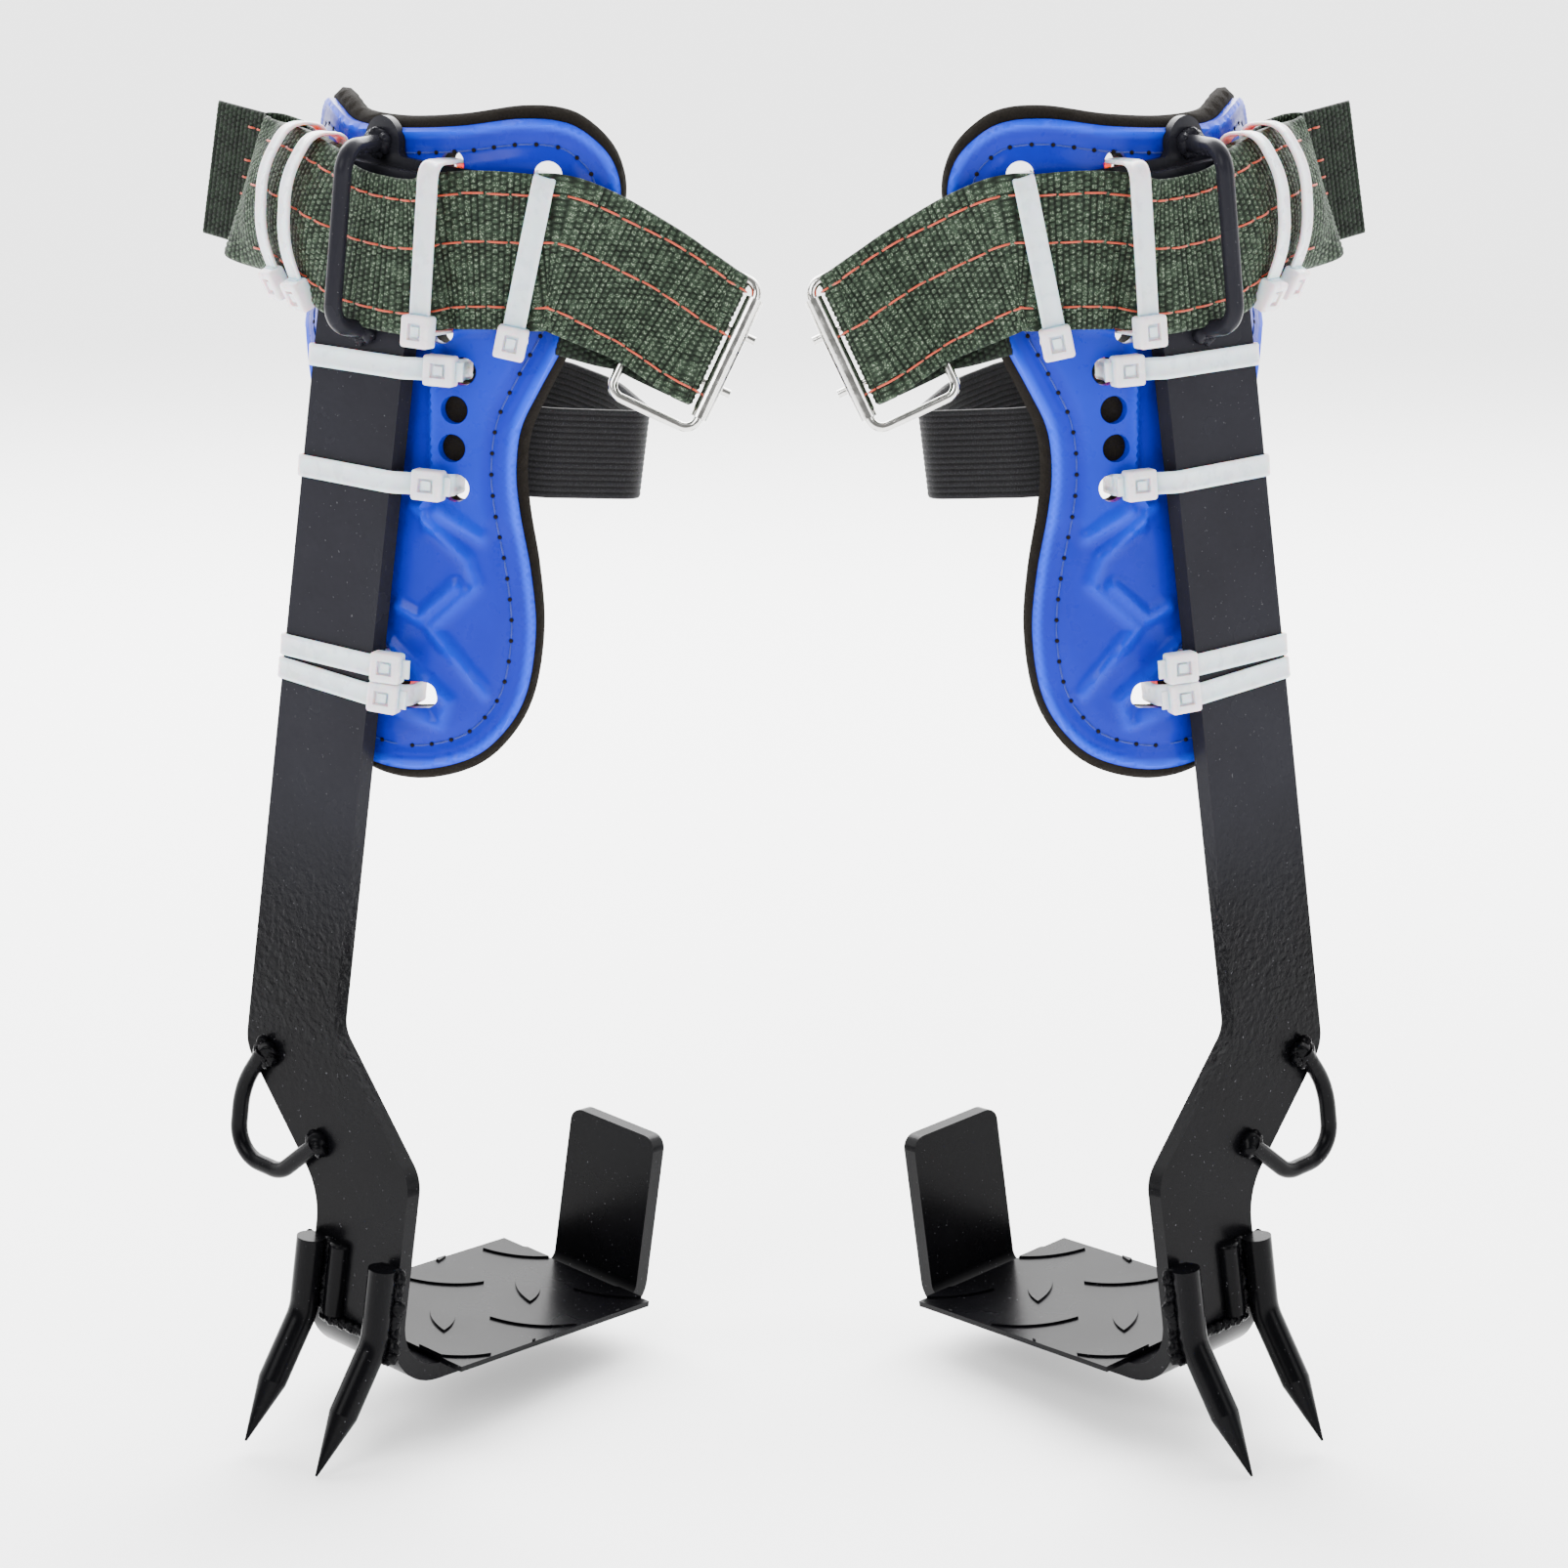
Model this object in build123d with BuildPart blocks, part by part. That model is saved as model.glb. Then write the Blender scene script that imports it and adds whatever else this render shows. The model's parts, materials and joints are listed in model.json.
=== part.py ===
"""A pair of tree climbing spurs: bent flat-bar shanks with twin gaffs, calf guards, straps and buckles.

Each spur is modelled in its own frame, in millimetres. X points to the toe, Y runs from the shank under
the foot to the outer flange, and Z points up from the top of the foot plate. The outer face of the shank
lies at Y = 0. The left spur is then stood in the row frame and the right spur is its mirror image.
"""
import os
from math import asin, atan2, cos, degrees, hypot, radians, sin, tan

from build123d import *

# Flat bar
BAR_WIDTH = 40.0
BAR_THICK = 6.0
SHANK_TOP = 400.0
SHANK_BACK = 41.4  # how far the upper shank stands behind the lower one
DOGLEG_TOP = 102.3
DOGLEG_BOTTOM = 61.4
EAR_X = -47.2
EAR_WIDTH = 17.5
EAR_TOP = 415.2

# Stirrup
PLATE_THICK = 2.0
PLATE_BACK = -41.5
PLATE_FRONT = 30.0
PLATE_NEAR = 26.0
PLATE_FAR = 125.6
BEND_NEAR = 23.0  # radius at the middle of the bar
BEND_FAR = 7.0
FLANGE_FACE = 129.8
FLANGE_TOP = 58.3
TREAD_PITCH = 45.0
TREAD_LENGTH = 31.0
TREAD_WIDTH = 9.0
TREAD_RISE = 0.8

# Gaffs, keeper and ankle ring
GAFF_RADIUS = 5.0
GAFF_TOP = 39.0
GAFF_BEND = 12.0
GAFF_TIP_OUT = -27.0
GAFF_TIP_Z = -31.0
GAFF_SPREAD = 17.0
POINT_LENGTH = 22.0
ROD_RADIUS = 2.9
KEEPER_X = -39.5
KEEPER_STANDOFF = 17.5
KEEPER_TOP = 405.5
KEEPER_BOTTOM = 349.0
KEEPER_FOOT = 347.0
RING_POINTS = [(-50, 95), (-58.3, 80), (-57.9, 55.5), (-36.2, 55.5), (-21.5, 70.2)]

# Calf curve shared by the calf plate, guard, liner and straps
CALF_X = -35.0
CALF_Y = 78.0
REAR_FLAT = 30.0  # how much larger the radius is behind the shank's middle
PLATE_OUTER = 72.0
CALF_PLATE_REAR = -15.5
CALF_PLATE_FRONT = 49.0
CALF_PLATE_BOTTOM = 357.0
CALF_PLATE_TOP = 403.5
CALF_PLATE_THICK = 3.0
EAR_FILLET = 2.4
GUARD_OUTER = 68.7
GUARD_THICK = 2.2
LINER_OUTER = 66.3
LINER_THICK = 7.0
LINER_REACH = 4.0  # how far the liner shows past the guard

# Guard layout: arc distance from its centreline and height above its middle
GUARD_MIDDLE_ARC = 7.2
GUARD_MIDDLE_Z = 310.0
GUARD_TILT = radians(9.5)
GUARD_HALF_OUTLINE = [
    (0, -107.5), (19.5, -104), (32, -95), (40, -82), (44, -62), (43.5, -42), (41, -22), (40.5, -8),
    (43, 6), (50, 19), (58.5, 33), (73, 59), (79, 77), (78, 88), (72.5, 96.5), (63, 103), (48, 105),
    (26, 103.2), (0, 103.2),
]
REAR_LOBE = [(-26, 106), (-42, 111.5), (-56, 114.5), (-68, 110), (-76, 99), (-80, 82)]
LOBE_ROWS = 6  # how many of the outline's last points the rear lobe stands for
TIE_HOLE_RADIUS = 4.6
TIE_HOLES = [(25, 25), (21.5, 12.5), (20, 0), (20.5, -13), (18.5, 38.5), (24, 91), (56, 87), (42.3, 35)]
REAR_TIE_HOLES = [(-25, 30), (-21.5, 17.5), (-20, 5), (-20.5, -8.5), (-8.5, -71)]
BLIND_HOLES = [(21.5, 12.5), (20, 0), (-21.5, 17.5), (-20, 5)]  # no tie passes these, so the liner is whole there

# Webbing, elastic, buckle and ties
WEBBING_WIDTH = 50.0
WEBBING_THICK = 2.2
GATHERED_WIDTH = 45.0  # at the buckle
ELASTIC_WIDTH = 30.0
ELASTIC_THICK = 1.6
ELASTIC_BOTTOM = 299.0
WIRE_RADIUS = 1.6
ROLLER_RADIUS = 3.0
ROLLER_LENGTH = 42.6
RUNNING_GAP = 0.08
SEAM_WIDTH = 0.7
BUCKLE_REACH = 30.0  # heel bar to roller
BUCKLE_SPAN = 52.0  # between the leg centrelines
PRONG_RADIUS = 1.4
PRONG_OFFSET = 9.5
PRONG_OVERHANG = 5.5
SLOT_LENGTH = 40.0
SLOT_WIDTH = 6.0
LOOP_TURN = 10.5  # from the roller to the middle of the webbing's turn
ROLLER_MIDDLE = (59.5, 64.8, 353.9)
ROLLER_UP = (0.1, 0.375, 0.9225)
BUCKLE_FACE = (0.577, -0.776, 0.252)
TIE_WIDTH = 7.2
TIE_THICK = 1.3
TIE_CLEAR = 0.4
HEAD_WIDTH = 9.6
HEAD_DEPTH = 6.0
HEAD_LENGTH = 10.0

# How the spurs stand as a pair
YAW = radians(38.5)
LEAN = radians(7.3)
STAND_AT = (-149.7, -46.0, 30.5)  # the left spur's own origin in the row frame


def flatter(angle):
    """How much larger the calf curve's radius is at an angle."""
    return REAR_FLAT if angle < 0 else 0.0


def calf_point(radius, angle, height=0.0):
    """A point on the calf curve; the angle in degrees opens from straight out towards the toe."""
    reach = radius + flatter(angle)
    turn = radians(angle)
    return Vector(CALF_X + reach * sin(turn), CALF_Y + flatter(angle) - reach * cos(turn), height)


def guard_place(across, along):
    """The calf angle and height of a place on the guard."""
    arc = GUARD_MIDDLE_ARC + across * cos(GUARD_TILT) - along * sin(GUARD_TILT)
    height = GUARD_MIDDLE_Z + across * sin(GUARD_TILT) + along * cos(GUARD_TILT)
    return degrees(arc / (GUARD_OUTER + flatter(arc))), height


def calf_plane(radius, angle, height):
    """A plane on the calf curve whose normal points away from the leg and whose Y is up."""
    out = calf_point(1, angle) - calf_point(0, angle)
    return Plane(origin=calf_point(radius, angle, height), x_dir=out.rotate(Axis.Z, 90), z_dir=out)


def calf_sheet(outer, thickness, rear, front):
    """The outline of a sheet on the calf curve between two calf angles."""
    inner = outer - thickness
    with BuildSketch() as sheet:
        with BuildLine():
            for radius in (outer, inner):
                for end in (rear, front):
                    ThreePointArc(*[calf_point(radius, angle) for angle in (0, end / 2, end)])
            for end in (rear, front):
                Line(calf_point(outer, end), calf_point(inner, end))
        make_face()
    return sheet.sketch


def bent_rod(points, bends, radius):
    """A round rod along straight runs joined by bends."""
    with BuildPart() as rod:
        with BuildLine() as path:
            FilletPolyline(*points, radius=bends)
        with BuildSketch(Plane(origin=path.line @ 0, z_dir=path.line % 0)):
            Circle(radius)
        sweep()
    return rod.part


def webbing(stations, width, thickness, end_width=None):
    """A flat strap through stations, each a middle point and the direction across it.

    Its last two stations may be gathered to a narrower width.
    """
    middles = [Vector(*middle) for middle, _ in stations]
    widths = [width] * (len(stations) - 2) + [end_width or width] * 2
    with BuildPart() as strap:
        for i, (_, across) in enumerate(stations):
            ahead = middles[min(i + 1, len(middles) - 1)] - middles[max(i - 1, 0)]
            side = Vector(*across)
            side = side - ahead.normalized() * side.dot(ahead.normalized())
            with BuildSketch(Plane(origin=middles[i], x_dir=side, z_dir=ahead)):
                Rectangle(widths[i], thickness)
        loft(ruled=True)
    return strap.part


# ---------------------------------------------------------------- steel

bar_middle_z = -PLATE_THICK - BAR_THICK / 2
half_bar = BAR_WIDTH / 2
bar_foot = BEND_NEAR + bar_middle_z
dogleg_turn = atan2(SHANK_BACK, DOGLEG_TOP - DOGLEG_BOTTOM)
miter = half_bar * tan(dogleg_turn / 2)

with BuildPart() as shank_bar:
    with BuildSketch(Plane.XZ):
        with BuildLine():
            rear = FilletPolyline(
                (-half_bar, bar_foot),
                (-half_bar, DOGLEG_BOTTOM - miter),
                (-SHANK_BACK - half_bar, DOGLEG_TOP - miter),
                (-SHANK_BACK - half_bar, SHANK_TOP),
                radius=[26, 13],
            )
            front = FilletPolyline(
                (half_bar, bar_foot),
                (half_bar, DOGLEG_BOTTOM + miter),
                (-SHANK_BACK + half_bar, DOGLEG_TOP + miter),
                (-SHANK_BACK + half_bar, SHANK_TOP),
                radius=[13, 10],
            )
            Line(rear @ 0, front @ 0)
            Line(rear @ 1, front @ 1)
        make_face()
    extrude(amount=-BAR_THICK)
    with BuildSketch(Plane.YZ.offset(-half_bar)):
        with BuildLine():
            FilletPolyline(
                (BAR_THICK / 2, bar_foot),
                (BAR_THICK / 2, bar_middle_z),
                (FLANGE_FACE + BAR_THICK / 2, bar_middle_z),
                (FLANGE_FACE + BAR_THICK / 2, FLANGE_TOP),
                radius=[BEND_NEAR - 0.01, BEND_FAR],
            )
        trace(line_width=BAR_THICK)
    extrude(amount=BAR_WIDTH)
    across = edges().filter_by(Axis.Y)
    fillet([e for e in across if e.center().Y > FLANGE_FACE and e.center().Z > FLANGE_TOP - 1], radius=5)

with BuildPart() as foot_plate:
    with BuildSketch(Plane.XY):
        with Locations(((PLATE_BACK + PLATE_FRONT) / 2, (PLATE_NEAR + PLATE_FAR) / 2)):
            Rectangle(PLATE_FRONT - PLATE_BACK, PLATE_FAR - PLATE_NEAR)
    extrude(amount=-PLATE_THICK)
    with BuildSketch(Plane.XY) as treads:
        for turn, first in ((45, (-27, 31)), (-45, (-50, 53.5))):
            for column in range(3):
                for row in range(3):
                    place = (first[0] + TREAD_PITCH * column, first[1] + TREAD_PITCH * row)
                    with Locations(Location((*place, 0), (0, 0, turn))):
                        with BuildSketch(mode=Mode.PRIVATE) as lens:
                            with BuildLine():
                                for side in (1, -1):
                                    ThreePointArc(
                                        (-TREAD_LENGTH / 2, 0),
                                        (0, side * TREAD_WIDTH / 2),
                                        (TREAD_LENGTH / 2, 0),
                                    )
                            make_face()
                        add(lens.sketch)
        with Locations(((PLATE_BACK + PLATE_FRONT) / 2, (PLATE_NEAR + PLATE_FAR) / 2)):
            Rectangle(PLATE_FRONT - PLATE_BACK - 1, PLATE_FAR - PLATE_NEAR - 1, mode=Mode.INTERSECT)
    extrude(amount=TREAD_RISE)

with BuildPart() as calf_plate:
    with BuildSketch(Plane.XY.offset(CALF_PLATE_BOTTOM)):
        add(calf_sheet(PLATE_OUTER, CALF_PLATE_THICK, CALF_PLATE_REAR, CALF_PLATE_FRONT))
    extrude(amount=EAR_TOP - CALF_PLATE_BOTTOM)
    with BuildSketch(Plane.XZ) as plate_outline:
        with Locations((0, (CALF_PLATE_BOTTOM + CALF_PLATE_TOP) / 2)):
            Rectangle(200, CALF_PLATE_TOP - CALF_PLATE_BOTTOM)
        with Locations((EAR_X, (CALF_PLATE_TOP + EAR_TOP - EAR_WIDTH / 2) / 2)):
            Rectangle(EAR_WIDTH, EAR_TOP - EAR_WIDTH / 2 - CALF_PLATE_TOP)
        corners = vertices().filter_by_position(Axis.X, EAR_X - EAR_WIDTH, EAR_X + EAR_WIDTH)
        fillet(corners.filter_by_position(Axis.Y, CALF_PLATE_TOP - 0.1, CALF_PLATE_TOP + 0.1), radius=EAR_FILLET)
        with Locations((EAR_X, EAR_TOP - EAR_WIDTH / 2)):
            Circle(EAR_WIDTH / 2)
    extrude(amount=-CALF_Y, mode=Mode.INTERSECT)


def gaff(x):
    """A bent round spike with a long tapered point and one flat ground on it."""
    top = Vector(x, -GAFF_RADIUS, GAFF_TOP)
    bend = Vector(x, -GAFF_RADIUS, GAFF_BEND)
    tip = Vector(x, GAFF_TIP_OUT, GAFF_TIP_Z)
    heading = (tip - bend).normalized()
    shoulder = tip - heading * POINT_LENGTH
    with BuildPart() as spike:
        add(bent_rod([top, bend, shoulder], [16], GAFF_RADIUS))
        with BuildSketch(Plane(origin=shoulder, x_dir=(1, 0, 0), z_dir=heading)):
            Circle(GAFF_RADIUS)
        with BuildSketch(Plane(origin=tip, x_dir=(1, 0, 0), z_dir=heading)):
            Circle(0.4)
        loft()
    return spike.part


rear_gaff = gaff(-GAFF_SPREAD)
front_gaff = gaff(GAFF_SPREAD)

with BuildPart() as gaff_stub:
    with BuildSketch(Plane.XY.offset(GAFF_BEND + 1)):
        with Locations((-7.5, 0)):
            Circle(4.2)
            Rectangle(10, 10, align=(Align.CENTER, Align.MIN), mode=Mode.SUBTRACT)
    extrude(amount=GAFF_TOP - GAFF_BEND - 1)
    fillet(faces().sort_by(Axis.Z)[-1].edges().sort_by(Axis.Y)[0], radius=1.5)

ear_angle = degrees(asin((EAR_X - CALF_X) / (PLATE_OUTER + REAR_FLAT)))
ear_spot = calf_point(PLATE_OUTER, ear_angle, EAR_TOP - EAR_WIDTH / 2)
keeper_top = Vector(KEEPER_X, -KEEPER_STANDOFF, KEEPER_TOP)
ear_leg = (keeper_top - ear_spot).normalized()
strap_keeper = bent_rod(
    [
        ear_spot + ear_leg * 1.5,
        keeper_top,
        (KEEPER_X + 0.5, -KEEPER_STANDOFF + 1.5, KEEPER_BOTTOM),
        (KEEPER_X + 1, -0.6, KEEPER_FOOT),
    ],
    [8, 8],
    ROD_RADIUS,
)
ankle_strap_ring = bent_rod([(x, -ROD_RADIUS, z) for x, z in RING_POINTS], [30, 11.5, 9.5], ROD_RADIUS)

# Each weld spot: its place, the outward direction of the face, and a point and direction of the rod there
ring_start, ring_next, *_, ring_before, ring_end = [Vector(x, -ROD_RADIUS, z) for x, z in RING_POINTS]
keeper_foot = Vector(KEEPER_X + 1, 0, KEEPER_FOOT)
weld_spots = [
    (ear_spot, ear_spot - calf_point(0, ear_angle, ear_spot.Z), ear_spot, ear_leg),
    (keeper_foot, Vector(0, -1, 0), keeper_foot, Vector(-0.5, -KEEPER_STANDOFF + 1.6, 2)),
    (Vector(-50.6, 0, 94), Vector(0, -1, 0), ring_start, ring_next - ring_start),
    (Vector(-22.3, 0, 69.4), Vector(0, -1, 0), ring_end, ring_before - ring_end),
]
with BuildPart() as weld_beads:
    for spot, out, _, _ in weld_spots:
        with Locations(Plane(origin=spot, z_dir=out).location):
            Cone(4.8, 3.2, 2.6, align=(Align.CENTER, Align.CENTER, Align.MIN))
    with BuildSketch(Plane.XY.offset(GAFF_BEND + 6)):
        for x in (-GAFF_SPREAD, GAFF_SPREAD):
            for side in (-1, 1):
                Polygon((x + 0.5 * side, 0), (x + 4.8 * side, 0), (x + 4.2 * side, -2.6), align=None)
    extrude(amount=GAFF_TOP - GAFF_BEND - 9)
    for _, _, start, heading in weld_spots:
        with Locations(Plane(origin=start - heading.normalized() * 8, z_dir=heading).location):
            Cylinder(ROD_RADIUS + 0.25, 18, align=(Align.CENTER, Align.CENTER, Align.MIN), mode=Mode.SUBTRACT)
    for x in (-GAFF_SPREAD, GAFF_SPREAD):
        with Locations((x, -GAFF_RADIUS, 0)):
            Cylinder(GAFF_RADIUS + 0.05, 60, align=(Align.CENTER, Align.CENTER, Align.MIN), mode=Mode.SUBTRACT)


# ---------------------------------------------------------------- guard and liner

GUARD_FACING = 6.0  # the calf angle that the guard's outline is cut along


def guard_outline(radius, reach):
    """The guard's outline on a radius, grown by reach, seen along its facing direction: sideways and up."""
    rear_half = [(-across, along) for across, along in GUARD_HALF_OUTLINE[1:-1 - LOBE_ROWS]]
    facing = calf_plane(0, GUARD_FACING, 0)
    outline = []
    for across, along in GUARD_HALF_OUTLINE + REAR_LOBE + rear_half[::-1]:
        grow = 1 + reach / hypot(across, along)
        angle, height = guard_place(across * grow, along * grow)
        seen = facing.to_local_coords(calf_point(radius, angle, height))
        outline.append((seen.X, seen.Y))
    return outline


def calf_shell(outer, thickness, reach):
    """A curved sheet on the calf with the guard's outline, grown by reach all round."""
    with BuildPart() as shell:
        with BuildSketch(Plane.XY.offset(GUARD_MIDDLE_Z - 130)):
            add(calf_sheet(outer, thickness, -65, 75))
        extrude(amount=260)
        with BuildSketch(calf_plane(0, GUARD_FACING, 0)):
            with BuildLine():
                Spline(*guard_outline(outer - thickness / 2, reach), periodic=True)
            make_face()
        extrude(amount=outer + 5, mode=Mode.INTERSECT)
    return shell.part


def pierced(shell, radius, kept):
    """The shell with its tie holes cut through but for those kept whole, a low oval one among them."""
    behind = LINER_OUTER - LINER_THICK - 3
    with BuildPart() as sheet:
        add(shell)
        for place in [hole for hole in TIE_HOLES + REAR_TIE_HOLES if hole not in kept]:
            with BuildSketch(calf_plane(behind, *guard_place(*place))):
                Circle(radius)
            extrude(amount=20, mode=Mode.SUBTRACT)
        with BuildSketch(calf_plane(behind, *guard_place(2.5, -82))):
            SlotOverall(16, 2 * radius)
        extrude(amount=20, mode=Mode.SUBTRACT)
    return sheet.part


guard_shell = pierced(calf_shell(GUARD_OUTER, GUARD_THICK, 0), TIE_HOLE_RADIUS, [])
liner_sheet = calf_shell(LINER_OUTER, LINER_THICK, LINER_REACH)
foam_liner = pierced(liner_sheet, TIE_HOLE_RADIUS + 0.6, BLIND_HOLES)


# ---------------------------------------------------------------- elastic, strap and buckle

inside_liner = LINER_OUTER - LINER_THICK - 1.5
elastic_ends = [calf_point(inside_liner, angle) for angle in (30, 47, -26, -19)]
elastic_loop = [(18.5, 82), (-18, 104), (-62, 108), (-92, 80)]
with BuildPart() as elastic_band:
    with BuildSketch(Plane.XY.offset(ELASTIC_BOTTOM)):
        with BuildLine():
            FilletPolyline(
                *[(p.X, p.Y) for p in elastic_ends[:2]],
                *elastic_loop,
                *[(p.X, p.Y) for p in elastic_ends[2:]],
                radius=[8, 2.5, 30, 25, 20, 5],
            )
        trace(line_width=ELASTIC_THICK)
    extrude(amount=ELASTIC_WIDTH)

roller_middle = Vector(*ROLLER_MIDDLE)
roller_up = Vector(*ROLLER_UP).normalized()
buckle_face = Vector(*BUCKLE_FACE)
buckle_face = (buckle_face - roller_up * buckle_face.dot(roller_up)).normalized()
to_heel = roller_up.cross(buckle_face)
if to_heel.X > 0:
    to_heel = -to_heel
heel_middle = roller_middle + to_heel * BUCKLE_REACH


def at_buckle(reach, up, out):
    """A point by its distance from the roller towards the heel, along the roller and out of the face."""
    return roller_middle + to_heel * reach + roller_up * up + buckle_face * out


with BuildPart() as buckle_frame:
    span = BUCKLE_SPAN / 2
    ring = [(0, span), (BUCKLE_REACH, span), (BUCKLE_REACH, -span), (0, -span)]
    with BuildLine():
        wire = FilletPolyline(*[at_buckle(a, b, 0) for a, b in ring], radius=4.4, close=True)
    with BuildSketch(Plane(origin=wire @ 0, z_dir=wire % 0)):
        Circle(WIRE_RADIUS)
    sweep()

with BuildPart() as buckle_roller:
    with BuildSketch(Plane(origin=at_buckle(0, -ROLLER_LENGTH / 2, 0), z_dir=roller_up)):
        Circle(ROLLER_RADIUS)
        Circle(WIRE_RADIUS + RUNNING_GAP, mode=Mode.SUBTRACT)
        Rectangle(2 * ROLLER_RADIUS, SEAM_WIDTH, align=(Align.MIN, Align.CENTER), mode=Mode.SUBTRACT)
    extrude(amount=ROLLER_LENGTH)


def prong(up):
    """A prong: an eye round the heel bar and a straight rod that rests on the far side of the roller."""
    eye_outer = WIRE_RADIUS + 1.8
    rest_out = -(ROLLER_RADIUS + PRONG_RADIUS + 0.15)
    start_out = -2.3
    tip_out = rest_out + (rest_out - start_out) * PRONG_OVERHANG / BUCKLE_REACH
    with BuildPart() as pin:
        with BuildSketch(Plane(origin=at_buckle(BUCKLE_REACH, up - PRONG_RADIUS, 0), z_dir=roller_up)):
            Circle(eye_outer)
        extrude(amount=2 * PRONG_RADIUS)
        with BuildLine() as line:
            Line(at_buckle(BUCKLE_REACH - 1.2, up, start_out), at_buckle(-PRONG_OVERHANG, up, tip_out))
        with BuildSketch(Plane(origin=line.line @ 0, z_dir=line.line % 0)):
            Circle(PRONG_RADIUS - 0.02)
        sweep()
        with BuildSketch(Plane(origin=at_buckle(BUCKLE_REACH, up - 5, 0), z_dir=roller_up)):
            Circle(WIRE_RADIUS + RUNNING_GAP)
        extrude(amount=10, mode=Mode.SUBTRACT)
    return pin.part


upper_prong = prong(PRONG_OFFSET)
lower_prong = prong(-PRONG_OFFSET)

# The strap's front layer, from the folded bundle behind the shank to the buckle
up_axis = (0, 0, 1)
strap_radius = PLATE_OUTER + 0.9 + WEBBING_THICK / 2
layer_gap = WIRE_RADIUS + 1.8 + 0.4 + WEBBING_THICK / 2
strap_front_stations = [
    ((-112, 14, 379.5), (0.1, 0, 1)),
    ((-91, 6, 380), (0.05, 0, 1)),
    ((-68, -1.5, 378.5), up_axis),
    ((-45, -4, 376), up_axis),
    ((-22, -3, 376), up_axis),
    (tuple(calf_point(strap_radius + 0.4, 21, 377)), up_axis),
    (tuple(calf_point(strap_radius, 36, 378)), up_axis),
    (tuple(calf_point(strap_radius, 48, 378)), up_axis),
    (tuple(at_buckle(BUCKLE_REACH + 6, 0, layer_gap)), tuple(roller_up)),
    (tuple(at_buckle(20, 0, layer_gap)), tuple(roller_up)),
    (tuple(at_buckle(LOOP_TURN, 0, layer_gap)), tuple(roller_up)),
]
calf_strap = webbing(strap_front_stations, WEBBING_WIDTH, WEBBING_THICK, GATHERED_WIDTH)

# The far layer of the loop that holds the heel bar, back to where it is sewn to the front layer
with BuildPart() as buckle_loop:
    add(
        webbing(
            [
                (tuple(at_buckle(LOOP_TURN, 0, -layer_gap)), tuple(roller_up)),
                (tuple(at_buckle(26, 0, -layer_gap)), tuple(roller_up)),
                (tuple(at_buckle(38, 0, -1)), tuple(roller_up)),
            ],
            GATHERED_WIDTH,
            WEBBING_THICK,
        )
    )
    turn_foot = at_buckle(LOOP_TURN, -GATHERED_WIDTH / 2, 0)
    with BuildSketch(Plane(origin=turn_foot, x_dir=to_heel, z_dir=roller_up)):
        Circle(layer_gap + WEBBING_THICK / 2)
        Circle(layer_gap - WEBBING_THICK / 2, mode=Mode.SUBTRACT)
        Rectangle(20, 30, align=(Align.MIN, Align.CENTER), mode=Mode.SUBTRACT)
    extrude(amount=GATHERED_WIDTH)
    for up in (PRONG_OFFSET, -PRONG_OFFSET):
        with Locations(Plane(origin=at_buckle(17, up, -8), x_dir=to_heel, z_dir=buckle_face).location):
            Box(SLOT_LENGTH, SLOT_WIDTH, 16, mode=Mode.SUBTRACT)
        turn_middle = at_buckle(LOOP_TURN - 6, up, 0)
        with Locations(Plane(origin=turn_middle, x_dir=to_heel, z_dir=buckle_face).location):
            Box(12, SLOT_WIDTH, 16, mode=Mode.SUBTRACT)

# The folded spare strap tied behind the front layer, and the sewn tail that sticks out of it
strap_bundle = webbing(
    [
        ((-111.5, 20.5, 379.5), (0.1, 0, 1)),
        ((-90, 12, 380), (0.05, 0, 1)),
        ((-68, 5, 378.5), up_axis),
    ],
    WEBBING_WIDTH - 2,
    7.0,
)
strap_tail = webbing(
    [
        ((-146, 31, 381.5), (0.31, 0, 1)),
        ((-128, 30, 381), (0.2, 0, 1)),
        ((-110, 27.5, 381), (0.1, 0, 1)),
        ((-98, 22.5, 380), (0.05, 0, 1)),
    ],
    WEBBING_WIDTH - 5,
    WEBBING_THICK,
)


# ---------------------------------------------------------------- zip ties


def tie_loop(plane, corners, bend, head_at, head_turn):
    """A zip tie: a closed strip through corners in the plane, and its square head on it."""
    with BuildPart() as tie:
        with BuildSketch(plane.offset(-TIE_WIDTH / 2)):
            with BuildLine():
                FilletPolyline(*corners, radius=bend, close=True)
            make_face()
            offset(amount=-TIE_THICK, mode=Mode.SUBTRACT)
        extrude(amount=TIE_WIDTH)
        with BuildSketch(plane.offset(-HEAD_WIDTH / 2)):
            with Locations(Location((*head_at, 0), (0, 0, head_turn))):
                Rectangle(HEAD_LENGTH, HEAD_DEPTH)
        extrude(amount=HEAD_WIDTH)
    return tie.part


bar_front = -SHANK_BACK + half_bar
bar_rear = -SHANK_BACK - half_bar
tie_inside = LINER_OUTER - LINER_THICK - 0.5
tie_outside = PLATE_OUTER - 1.0


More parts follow.
